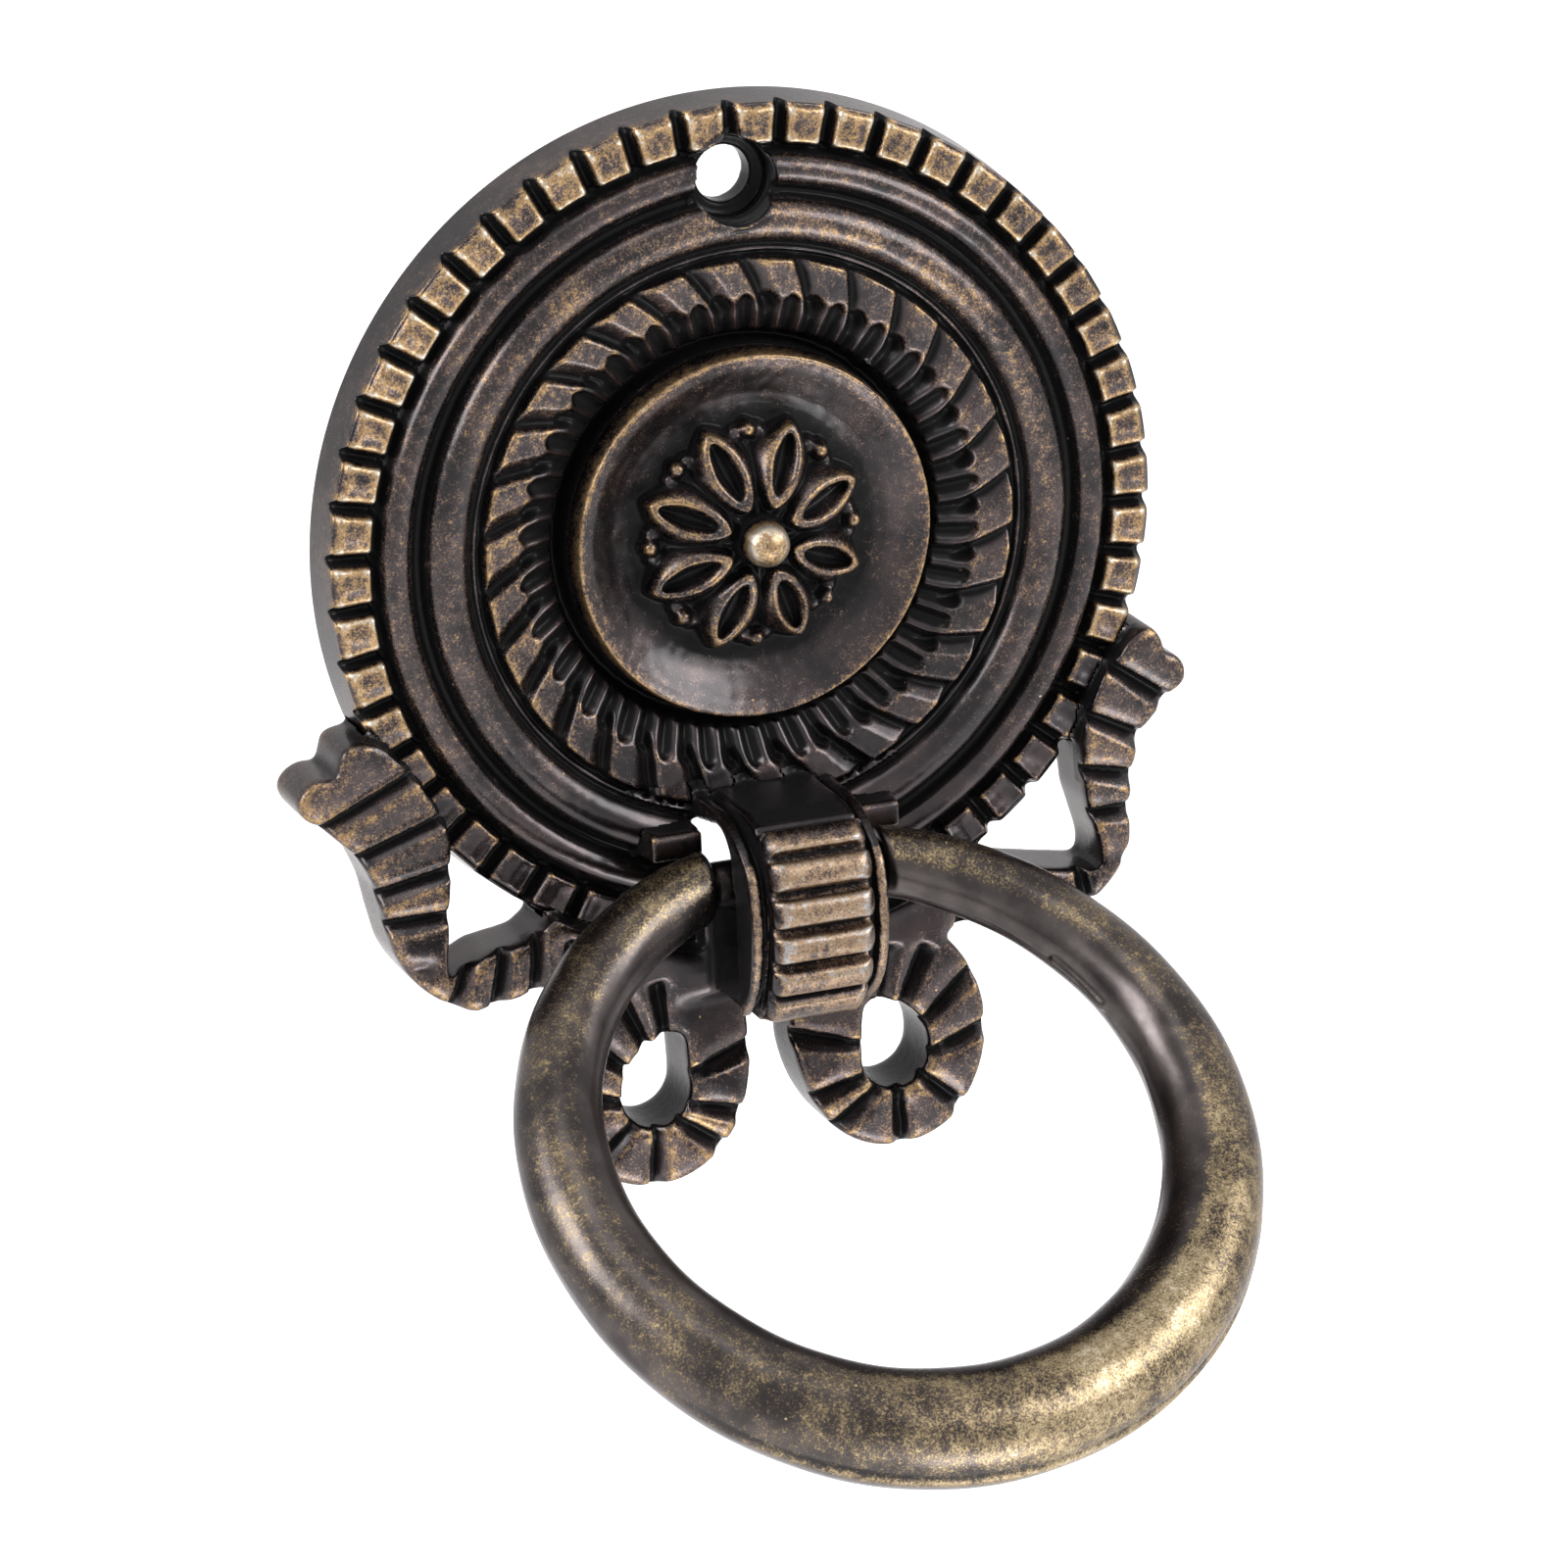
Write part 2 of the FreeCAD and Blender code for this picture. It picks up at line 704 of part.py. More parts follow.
def backplate():
    plate = mouldings()
    plate = plate.cut(Part.makeCompound(dentil_gaps()))
    plate = plate.cut(Part.makeCompound(leaf_gaps()))
    plate = plate.cut(Part.makeCompound(flutes()))
    plate = plate.cut(back_recess())
    plate = plate.fuse(rosette())
    block = stop_block()
    plate = plate.fuse([ribbon(right_tail), mirrored(ribbon(left_tail)), block, mirrored(block), knuckle()])
    relief = side_relief()
    plate = plate.cut(Part.makeCompound([relief, mirrored(relief)]))
    plate = plate.cut(hollow())
    plate = plate.cut(screw_hole())
    return plate.removeSplitter()


def ring_section(turn):
    # A round section of the hanging ring, measured round from the top.
    angle = math.radians(turn)
    share = (1 - math.cos(angle)) / 2
    radius = ring_end_tube_radius + (ring_foot_tube_radius - ring_end_tube_radius) * share
    rise = ring_radius * math.cos(angle) - ring_drop
    centre = at(ring_radius * math.sin(angle), pivot_height, pivot_z + rise)
    tangent = at(math.cos(angle), 0, -math.sin(angle))
    return Part.Wire(Part.Circle(centre, tangent, radius).toShape())


def pull_ring():
    first = math.degrees(math.asin(ring_end_x / ring_radius)) - ring_end_overrun
    turns = [first + (360.0 - 2 * first) * k / (ring_section_count - 1) for k in range(ring_section_count)]
    body = Part.makeLoft([ring_section(turn) for turn in turns], True)
    side = 3 * ring_end_tube_radius
    heights = (pivot_height - side, pivot_height + side)
    body = body.cut(box((-ring_end_x, ring_end_x), heights, (pivot_z - side, pivot_z + side)))
    ends = [edge for edge in body.Edges if all(abs(abs(v.X) - ring_end_x) < 1e-4 for v in edge.Vertexes)]
    body = body.makeFillet(ring_end_round, ends)
    spigots = [
        rod(at(side_sign * (ring_end_x + past), pivot_height, pivot_z),
            at(side_sign * spigot_end_gap, pivot_height, pivot_z), spigot_radius)
        for side_sign in (-1, 1)
    ]
    ring = body.fuse(spigots).removeSplitter()
    ring.rotate(at(0, pivot_height, pivot_z), FreeCAD.Vector(1, 0, 0), -ring_swing)
    return ring


nodes = {"backplate": backplate(), "pull_ring": pull_ring()}
for name, shape in nodes.items():
    print(name, "solids", len(shape.Solids), "valid", shape.isValid(), "volume", round(shape.Volume, 1))
    shape.exportStep(f"parts/{name}.step")
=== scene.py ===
import math

import bpy
import numpy as np
from mathutils import Matrix, Vector


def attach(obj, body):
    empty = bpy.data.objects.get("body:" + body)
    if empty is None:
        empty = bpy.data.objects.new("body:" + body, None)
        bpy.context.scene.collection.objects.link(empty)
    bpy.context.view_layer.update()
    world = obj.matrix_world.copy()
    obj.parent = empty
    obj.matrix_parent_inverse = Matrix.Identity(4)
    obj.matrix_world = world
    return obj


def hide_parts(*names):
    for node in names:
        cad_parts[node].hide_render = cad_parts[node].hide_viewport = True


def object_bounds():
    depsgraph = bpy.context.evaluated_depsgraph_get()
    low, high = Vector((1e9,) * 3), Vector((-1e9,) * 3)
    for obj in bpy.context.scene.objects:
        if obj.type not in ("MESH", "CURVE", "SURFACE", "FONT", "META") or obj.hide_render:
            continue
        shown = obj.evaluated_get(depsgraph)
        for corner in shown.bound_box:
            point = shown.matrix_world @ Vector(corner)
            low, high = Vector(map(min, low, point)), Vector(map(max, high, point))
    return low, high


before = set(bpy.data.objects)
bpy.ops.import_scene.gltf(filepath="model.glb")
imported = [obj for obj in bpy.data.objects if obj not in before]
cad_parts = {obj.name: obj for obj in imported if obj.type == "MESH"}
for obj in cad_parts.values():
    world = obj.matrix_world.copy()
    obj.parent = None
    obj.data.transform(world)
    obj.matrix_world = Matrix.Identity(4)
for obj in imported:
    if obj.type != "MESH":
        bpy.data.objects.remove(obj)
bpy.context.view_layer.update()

# A cast ring pull in worn antique bronze. Sizes are in millimetres unless a note says otherwise.
# X points right and Z up, the front faces -Y, and "height" is the distance in front of the drawer.
millimetre = 0.001
stageScene = bpy.context.scene


# Camera and studio
cameraFacts = {
    "place": (-139.08, -389.2, 120.14),
    "right": (0.9345, -0.3538, -0.0384),
    "up": (0.1447, 0.2791, 0.9493),
    "lens": 180.0,
    "sensor": 36.0,
}

studio = {
    "floorDrop": 250.0,         # how far the floor lies below the ring
    "floorSize": 6.0,           # metres
    "floorColour": (0.86, 0.86, 0.86, 1),
    "floorGlow": 0.8,
    "worldLight": 0.38,
    "lamps": [
        # name, place in metres, width and height in metres, watts
        ("softboxLeft", (-0.9, -0.13, 0.5), 0.58, 0.5, 8.6),
        ("softboxFrontRight", (0.71, -0.63, 0.45), 0.74, 0.46, 8.3),
        ("softboxLow", (0.05, -0.23, -0.235), 0.13, 0.1, 0.42),
        ("softboxAbove", (-0.1, -0.35, 1.1), 0.5, 0.4, 1.6),
    ],
}


def addCamera():
    right = Vector(cameraFacts["right"]).normalized()
    back = right.cross(Vector(cameraFacts["up"])).normalized()
    up = back.cross(right)
    data = bpy.data.cameras.new("camera")
    data.lens = cameraFacts["lens"]
    data.sensor_width = cameraFacts["sensor"]
    data.clip_start = 0.01
    data.clip_end = 20.0
    camera = bpy.data.objects.new("camera", data)
    place = Vector(cameraFacts["place"]) * millimetre
    camera.matrix_world = Matrix((
        (right.x, up.x, back.x, place.x),
        (right.y, up.y, back.y, place.y),
        (right.z, up.z, back.z, place.z),
        (0, 0, 0, 1),
    ))
    stageScene.collection.objects.link(camera)
    stageScene.camera = camera


def seenBackground(tree):
    # 1 for rays that should meet the plain background: from the camera, off gloss or through glass
    path = tree.nodes.new("ShaderNodeLightPath")
    first = tree.nodes.new("ShaderNodeMath")
    first.operation = "MAXIMUM"
    second = tree.nodes.new("ShaderNodeMath")
    second.operation = "MAXIMUM"
    tree.links.new(path.outputs["Is Camera Ray"], first.inputs[0])
    tree.links.new(path.outputs["Is Glossy Ray"], first.inputs[1])
    tree.links.new(first.outputs[0], second.inputs[0])
    tree.links.new(path.outputs["Is Transmission Ray"], second.inputs[1])
    return second.outputs[0]


def addWorld():
    world = bpy.data.worlds.new("studio")
    stageScene.world = world
    world.use_nodes = True
    tree = world.node_tree
    background = tree.nodes["Background"]
    background.inputs["Color"].default_value = (1, 1, 1, 1)
    strength = tree.nodes.new("ShaderNodeMix")
    strength.inputs["A"].default_value = studio["worldLight"]
    strength.inputs["B"].default_value = 1.0
    tree.links.new(seenBackground(tree), strength.inputs["Factor"])
    tree.links.new(strength.outputs["Result"], background.inputs["Strength"])


def addFloor():
    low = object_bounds()[0].z - studio["floorDrop"] * millimetre
    half = studio["floorSize"] / 2
    mesh = bpy.data.meshes.new("floor")
    mesh.from_pydata([(-half, -half, low), (half, -half, low), (half, half, low), (-half, half, low)], [], [(0, 1, 2, 3)])
    floor = bpy.data.objects.new("floor", mesh)
    stageScene.collection.objects.link(floor)
    material = bpy.data.materials.new("paleFloor")
    material.use_nodes = True
    tree = material.node_tree
    shader = tree.nodes["Principled BSDF"]
    shader.inputs["Base Color"].default_value = studio["floorColour"]
    shader.inputs["Roughness"].default_value = 0.9
    shader.inputs["Emission Color"].default_value = (1, 1, 1, 1)
    glow = tree.nodes.new("ShaderNodeMath")
    glow.operation = "MULTIPLY"
    glow.inputs[1].default_value = studio["floorGlow"]
    tree.links.new(seenBackground(tree), glow.inputs[0])
    tree.links.new(glow.outputs[0], shader.inputs["Emission Strength"])
    mesh.materials.append(material)


def addLamps():
    target = Vector((0, -0.005, -0.012))
    for name, place, width, tall, watts in studio["lamps"]:
        data = bpy.data.lights.new(name, "AREA")
        data.shape = "RECTANGLE"
        data.size = width
        data.size_y = tall
        data.energy = watts
        lamp = bpy.data.objects.new(name, data)
        lamp.location = place
        lamp.rotation_mode = "QUATERNION"
        lamp.rotation_quaternion = (target - Vector(place)).to_track_quat("-Z", "Y")
        stageScene.collection.objects.link(lamp)


# Meshes from arrays
def addPiece(name, points, faces, masks, material, body, node):
    mesh = bpy.data.meshes.new(name)
    mesh.from_pydata(points * millimetre, [], faces)
    mesh.update()
    for maskName, values in masks.items():
        mask = mesh.attributes.new(maskName, "FLOAT", "POINT")
        mask.data.foreach_set("value", values.astype(np.float32).ravel())
    mesh.shade_smooth()
    mesh.materials.append(material)
    piece = bpy.data.objects.new(name, mesh)
    stageScene.collection.objects.link(piece)
    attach(piece, body)
    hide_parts(node)
    print("piece", name, len(faces), "faces")
    return piece


def gridFaces(rows, columns, closed):
    # Faces between neighbouring rows and columns; a closed grid joins its last column to its first.
    first = np.arange(rows - 1)[:, None] * columns
    here = np.arange(columns if closed else columns - 1)[None, :]
    beside = (here + 1) % columns
    return np.stack([first + here, first + columns + here, first + columns + beside, first + beside], -1).reshape(-1, 4)


def smoothRamp(values, low, high):
    share = np.clip((values - low) / (high - low), 0, 1)
    return share * share * (3 - 2 * share)


def softened(values, sigma):
    reach = int(math.ceil(3 * sigma))
    taps = np.exp(-0.5 * (np.arange(-reach, reach + 1) / sigma) ** 2)
    taps /= taps.sum()
    for axis in (0, 1):
        padded = np.pad(values, [(reach, reach) if a == axis else (0, 0) for a in (0, 1)], mode="edge")
        length = values.shape[axis]
        total = 0
        for k, tap in enumerate(taps):
            total = total + tap * (padded[k:k + length] if axis == 0 else padded[:, k:k + length])
        values = total
    return values


# Round plate: one height for each place on its face
plate = {
    "radius": 24.0,
    "rimLean": 0.28,
    "dentils": 50,
    "dentilGap": 1.0,
    "dentilDepth": 1.0,
    "rimRound": 0.45,
    # radius and height of the face from the middle outwards, without its rolls
    "steps": [
        (0, 3.1), (6.6, 3.1), (7.2, 3.16), (7.9, 3.42), (8.7, 3.9), (9.4, 4.35), (9.9, 4.56), (10.15, 4.7),
        (10.33, 4.55), (10.4, 1.4), (10.98, 1.4), (11.05, 2.9), (13.3, 3.95), (15.35, 4.15), (15.5, 3.15),
        (15.7, 3.15), (15.78, 3.75), (15.95, 3.75), (16.03, 3.2), (18.6, 3.2), (18.65, 3.0), (21.05, 3.0),
        (21.1, 2.6), (21.42, 2.6), (21.55, 3.5), (24.2, 3.5),
    ],
    # radius, half width, foot and top of each round moulding
    "rolls": [(17.4, 1.25, 3.2, 4.4), (20.15, 0.92, 3.0, 3.9)],
    # how strongly raised forms are rubbed bare at each radius
    "rubbedAt": [0, 1.3, 1.8, 8.0, 9.8, 10.6, 11.5, 13.2, 15.3, 16.5, 18.5, 19.5, 21.0, 21.5, 24.0],
    "rubbed": [1.0, 0.95, 0.7, 0.42, 0.28, 0.32, 0.3, 0.75, 0.85, 0.6, 0.5, 0.45, 0.4, 1.5, 1.5],
}

wreath = {
    "leaves": 30,
    "valleyTurn": 5.4,          # degrees from 0 of a valley at its outer end
    "valleyLean": 2.1,          # degrees that it turns for each millimetre inwards
    "faceFrom": 1.9,            # where the leaf's face starts and ends, in degrees after the valley
    "faceTo": 7.9,
    "valleyDepth": 0.72,
    "leafOuter": 15.35,
    "leafInner": 13.25,
    "inner": 11.05,
    "nicheTurn": 5.0,
    "nicheLean": 0.65,
    "nicheHalfWidth": 2.7,
    "nicheDepth": 0.5,
}

rosette = {
    "petals": 8,
    "petalFrom": 1.75,
    "petalTo": 6.65,
    "petalHalfWidth": 1.2,
    "lipShare": 0.7,            # where the lip's crest lies between the petal's middle line and its edge
    "lipInner": 5.75,           # the lip's height beside the ball and at the tip
    "lipOuter": 4.35,
    "slotDepth": 0.95,
    "floor": 3.1,
    "webInner": 4.75,           # height between the petals beside the ball
    "webEnd": 6.3,
    "budRing": 5.9,
    "budRadius": 0.5,
    "budHeight": 4.25,
    "ballRadius": 1.35,
    "ballTop": 7.4,
}

field = {"half": 24.6, "spacing": 0.06, "castSoftness": 0.1}


def degreesAround(x, z):
    return np.degrees(np.arctan2(z, x))


def fromNearest(degrees, count, first):
    # Degrees from the nearest of count equal turns, from minus half a pitch to half a pitch
    pitch = 360.0 / count
    return (degrees - first + pitch / 2) % pitch - pitch / 2


def mouldingHeight(radius):
    radii, heights = zip(*plate["steps"])
    height = np.interp(radius, radii, heights)
    for centre, halfWidth, foot, top in plate["rolls"]:
        share = np.clip(1 - ((radius - centre) / halfWidth) ** 2, 0, 1)
        height = np.where(share > 0, foot + (top - foot) * np.sqrt(share), height)
    return height


def cutDentils(height, radius, degrees):
    across = np.radians(fromNearest(degrees, plate["dentils"], 90.0)) * radius
    halfGap = plate["dentilGap"] / 2
    groove = 1 - smoothRamp(np.abs(across), 0.12, halfGap)
    band = smoothRamp(radius, 21.35, 21.5)
    edge = plate["radius"] - plate["rimLean"]
    roundOver = plate["rimRound"] * np.clip((radius - edge + plate["rimRound"]) / plate["rimRound"], 0, 1) ** 2
    pitch = np.radians(360.0 / plate["dentils"]) * radius
    hollowed = 0.09 * smoothRamp(np.abs(across), pitch / 2, pitch / 2 - 0.6) * smoothRamp(radius, 21.6, 22.3)
    hollowed = hollowed * smoothRamp(radius, 23.6, 23.0)
    return height - band * (groove * plate["dentilDepth"] + roundOver + hollowed)


def cutWreath(height, radius, degrees):
    w = wreath
    pitch = 360.0 / w["leaves"]
    valley = w["valleyTurn"] - w["valleyLean"] * (w["leafOuter"] - radius)
    after = (degrees - valley) % pitch
    rise = smoothRamp(after, 0.0, w["faceFrom"])
    fall = 1 - np.clip((after - w["faceTo"]) / (pitch - w["faceTo"]), 0, 1)
    face = np.minimum(rise, fall)
    band = smoothRamp(radius, w["leafInner"] - 1.2, w["leafInner"]) * (radius < w["leafOuter"] + 0.1)
    height = height - band * w["valleyDepth"] * (1 - face)
    niche = fromNearest(degrees + w["nicheLean"] * (w["leafInner"] - radius), 2 * w["leaves"], w["nicheTurn"])
    share = np.clip(np.abs(niche) / w["nicheHalfWidth"], 0, 1)
    start = w["leafInner"] + 0.25 - 0.55 * share ** 2
    into = smoothRamp(start - radius, 0.0, 0.35) * (radius > w["inner"] - 0.1)
    return height - into * w["nicheDepth"] * (1 - share ** 1.3)


def addRosette(height, radius, degrees):
    r = rosette
    turn = np.radians(fromNearest(degrees, r["petals"], 180.0 / r["petals"]))
    along, across = radius * np.cos(turn), np.abs(radius * np.sin(turn))
    middle, half = (r["petalFrom"] + r["petalTo"]) / 2, (r["petalTo"] - r["petalFrom"]) / 2
    length = np.clip(1 - ((along - middle) / half) ** 2, 0, 1)
    width = r["petalHalfWidth"] * length ** 0.75 + 1e-6
    share = across / width
    lip = r["lipInner"] + (r["lipOuter"] - r["lipInner"]) * np.clip((along - r["petalFrom"]) / (2 * half), 0, 1) ** 1.4
    slotShare = np.clip(1 - ((along - middle - 0.1) / (half * 0.66)) ** 2, 0, 1)
    slotWidth = 0.55 * r["petalHalfWidth"] * slotShare ** 0.7 + 1e-6
    slot = r["slotDepth"] * np.clip(1 - (across / slotWidth) ** 2, 0, 1)
    outside = np.clip((share - r["lipShare"]) / 0.75, 0, None)
    petal = lip - 1.35 * outside ** 1.6 - slot
    petal = np.where((length > 0) & (share < 1.6), petal, 0)
    stalkTurn = np.radians(fromNearest(degrees, r["petals"], 0.0))
    stalkAcross = np.abs(radius * np.sin(stalkTurn))
    web = r["webInner"] + (r["floor"] - r["webInner"]) * smoothRamp(radius, 1.2, r["webEnd"])
    stalk = web + 0.3 * np.clip(1 - (stalkAcross / 0.33) ** 2, 0, 1) * (radius < r["webEnd"] - 0.4)
    web = np.where(radius < r["webEnd"], stalk, 0)
    budX, budAcross = radius * np.cos(stalkTurn) - r["budRing"], stalkAcross
    fromBud = np.hypot(budX, budAcross)
    bud = r["budHeight"] - r["budRadius"] + np.sqrt(np.clip(r["budRadius"] ** 2 - fromBud ** 2, 0, None)) * 1.1
    bud = np.where(fromBud < r["budRadius"], bud, 0)
    fromLobe = np.hypot(budX + 0.25, budAcross - 0.62)
    lobe = np.where(fromLobe < 0.5, 3.55 + 0.3 * np.sqrt(np.clip(1 - (fromLobe / 0.5) ** 2, 0, 1)), 0)
    ball = np.where(radius < r["ballRadius"],
                    r["ballTop"] - r["ballRadius"] + np.sqrt(np.clip(r["ballRadius"] ** 2 - radius ** 2, 0, None)), 0)
    for form in (web, petal, bud, lobe, ball):
        height = np.maximum(height, form)
    return height


def blemishes(x, z):
    # Slow unevenness of a hand-finished casting, a stuck bubble and the file marks beside the knuckle
    wave = np.sin(0.71 * x + 1.3 * np.sin(0.43 * z)) * np.cos(0.57 * z - 0.9 * np.sin(0.37 * x))
    ripple = np.sin(3.1 * x + 2.0 * np.sin(1.7 * z + 1.0)) * np.sin(2.7 * z + 1.6 * np.sin(2.1 * x))
    bubble = 0.35 * np.exp(-((np.hypot(x - 7.4, z - 8.2) - 0.24) / 0.09) ** 2)
    filed = np.exp(-(((x - 6.6) / 1.1) ** 2 + ((z + 14.2) / 0.6) ** 2) ** 2)
    marks = 0.035 * filed * np.sin(2 * math.pi * (x + z) / 0.3)
    return 0.025 * wave + 0.012 * ripple + bubble + marks


def plateRub(x, z):
    # The top and the edge of the plate are made lighter than the corner beside the knuckle
    sheltered = np.exp(-((x / 20.0) ** 2 + ((z + 20.0) / 9.0) ** 2) ** 1.5)
    edge = smoothRamp(np.hypot(x, z), 21.3, 21.8)
    crown = 0.24 * np.exp(-((np.hypot(x, z) - 17.3) / 0.7) ** 2) * smoothRamp(z + 0.25 * x, -2.0, 17.0)
    radius = np.hypot(x, z)
    flutes = smoothRamp(radius, 10.8, 11.1) * smoothRamp(radius, 13.3, 12.7)
    leaves = smoothRamp(radius, 12.8, 13.3) * smoothRamp(radius, 15.6, 15.3) * (0.02 - 0.005 * x)
    beside = 0.3 * smoothRamp(z, -8.0, -11.5) + 0.12 * smoothRamp(x, 8.0, 18.0)
    edge = edge * (0.14 * smoothRamp(z, -14.0, -4.0) - beside)
    return edge + crown + leaves - 0.5 * sheltered - 0.4 * flutes


def makeField():
    count = int(2 * field["half"] / field["spacing"]) + 1
    line = np.linspace(-field["half"], field["half"], count)
    x, z = np.meshgrid(line, line)
    radius, degrees = np.hypot(x, z), degreesAround(x, z)
    height = mouldingHeight(radius)
    height = cutDentils(height, radius, degrees)
    height = cutWreath(height, radius, degrees)
    height = addRosette(height, radius, degrees)
    height = softened(height, field["castSoftness"] / field["spacing"]) + blemishes(x, z)
    field["height"] = height
    fine = height - softened(height, 0.3 / field["spacing"])
    broad = height - softened(height, 0.9 / field["spacing"])
    rubbed = np.interp(radius, plate["rubbedAt"], plate["rubbed"])
    field["wear"] = rubbed * (2.2 * fine + 0.6 * broad) + plateRub(x, z)
    flutes = smoothRamp(radius, 10.8, 11.1) * smoothRamp(radius, 13.3, 12.7)
    # Painted shade: the outer roll, and the mouldings' left half, are darkened through the hollows mask
    outerRollShade = smoothRamp(radius, 18.5, 19.2) * smoothRamp(radius, 21.3, 21.0)
    rolls = smoothRamp(radius, 15.9, 16.4) * smoothRamp(radius, 21.3, 21.0) * smoothRamp(-x, 5.0, 15.0)
    field["recess"] = -(1.2 * fine + 0.9 * broad) + 0.4 * flutes + 0.12 * outerRollShade + 0.1 * rolls
    print("stage: plate field", count, "by", count)


def sampled(name, x, z):
    values = field[name]
    column = np.clip((x + field["half"]) / field["spacing"], 0, values.shape[1] - 1.001)
    row = np.clip((z + field["half"]) / field["spacing"], 0, values.shape[0] - 1.001)
    c, r = column.astype(int), row.astype(int)
    fc, fr = column - c, row - r
    low = values[r, c] * (1 - fc) + values[r, c + 1] * fc
    high = values[r + 1, c] * (1 - fc) + values[r + 1, c + 1] * fc
    return low * (1 - fr) + high * fr


# What is cut through the plate's face: the screw's mouth and the window behind the knuckle
openings = {
    "screwZ": 19.65,
    "screwMouth": 2.3,
    "windowHalfWidth": 4.2,
    "windowTop": -15.85,
    "windowBottom": -20.9,
}


def isOpen(x, z, grow):
    o = openings
    atScrew = np.hypot(x, z - o["screwZ"]) < o["screwMouth"] + grow
    atWindow = (np.abs(x) < o["windowHalfWidth"] + grow) & (z < o["windowTop"] + grow) & (z > o["windowBottom"] - grow)
    return atScrew | atWindow


def facePiece(name, innerRadius, outerRadius, spacing, columns, material):
    rows = int(round((outerRadius - innerRadius) / spacing)) + 1
    radii = np.linspace(innerRadius, outerRadius, rows)
    turns = np.linspace(0, 2 * math.pi, columns, endpoint=False)
    radius, turn = np.meshgrid(radii, turns, indexing="ij")
    x, z = radius * np.cos(turn), radius * np.sin(turn)
    points = np.stack([x, -sampled("height", x, z), z], -1).reshape(-1, 3)
    masks = {name_: sampled(name_, x, z) for name_ in ("wear", "recess")}
    faces = gridFaces(rows, columns, True)
    middle = points[faces].mean(1)
    faces = faces[~isOpen(middle[:, 0], middle[:, 2], 0.12)]
    return addPiece(name, points, faces, masks, material, "plate", "backplate")


def rimPiece(name, innerRadius, spacing, columns, material):
    edge = plate["radius"] - plate["rimLean"]
    radii = np.arange(innerRadius, edge, spacing)
    turns = np.linspace(0, 2 * math.pi, columns, endpoint=False)
    radius, turn = np.meshgrid(radii, turns, indexing="ij")
    x, z = radius * np.cos(turn), radius * np.sin(turn)
    height = sampled("height", x, z)
    wear, recess = sampled("wear", x, z), sampled("recess", x, z)
    sideShares = np.linspace(1, 0, 16)[:, None]
    sideHeights = sideShares * height[-1][None, :]
    lean = plate["rimLean"] * (1 - sideHeights / 3.5)
    sideRadius = edge - 0.02 + lean
    sideX, sideZ = sideRadius * np.cos(turns), sideRadius * np.sin(turns)
    x, z = np.vstack([x, sideX]), np.vstack([z, sideZ])
    height = np.vstack([height, sideHeights])
    fade = smoothRamp(sideShares, 0.75, 1.0)
    # Over the side wall the face's wear fades out; the wall's left half, towards its top, gets a painted highlight
    rubbed = fade * wear[-1] + 0.22 * smoothRamp(sideShares, 0.3, 1.0) * smoothRamp(-sideX, -10.0, 12.0)
    wear = np.vstack([wear, rubbed])
    recess = np.vstack([recess, 0 * sideHeights])
    points = np.stack([x, -height, z], -1).reshape(-1, 3)
    faces = gridFaces(len(radii) + 16, columns, True)
    middle = points[faces].mean(1)
    faces = faces[~isOpen(middle[:, 0], middle[:, 2], 0.12)]
    return addPiece(name, points, faces, {"wear": wear, "recess": recess}, material, "plate", "backplate")


# Ribbon, knuckle, stops and back: the CAD casting with its edges softened
casting = {
    "voxel": 0.15,
    "smoothing": 2,
    "knuckleRounds": 3,
    "ribbonRounds": 22,
    "proud": 0.14,              # how far a form stands out of the plate's face to be kept
}


def softenedCasting():
    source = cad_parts["backplate"]
    mesh = source.data.copy()
    shape = bpy.data.objects.new("softCasting", mesh)
    stageScene.collection.objects.link(shape)
    weld = shape.modifiers.new("weld", "WELD")
    weld.merge_threshold = 2e-6
    remesh = shape.modifiers.new("remesh", "REMESH")
    remesh.mode = "VOXEL"
    remesh.voxel_size = casting["voxel"] * millimetre
    smooth = shape.modifiers.new("smooth", "SMOOTH")
    smooth.factor = 0.5
    smooth.iterations = casting["smoothing"]
    bpy.context.view_layer.update()
    ready = shape.evaluated_get(bpy.context.evaluated_depsgraph_get())
    result = bpy.data.meshes.new_from_object(ready)
    points = np.empty(len(result.vertices) * 3)
    result.vertices.foreach_get("co", points)
    normals = np.empty(len(result.vertices) * 3, np.float32)
    result.vertex_normals.foreach_get("vector", normals)
    faces = np.empty(len(result.loops), np.int32)
    result.loops.foreach_get("vertex_index", faces)
    sizes = np.empty(len(result.polygons), np.int32)
    result.polygons.foreach_get("loop_total", sizes)
    print("stage: casting", len(result.vertices), "points,", "all quads" if (sizes == 4).all() else "mixed faces")
    bpy.data.objects.remove(shape)
    bpy.data.meshes.remove(result)
    bpy.data.meshes.remove(mesh)
    return points.reshape(-1, 3) / millimetre, normals.reshape(-1, 3), faces.reshape(-1, 4)


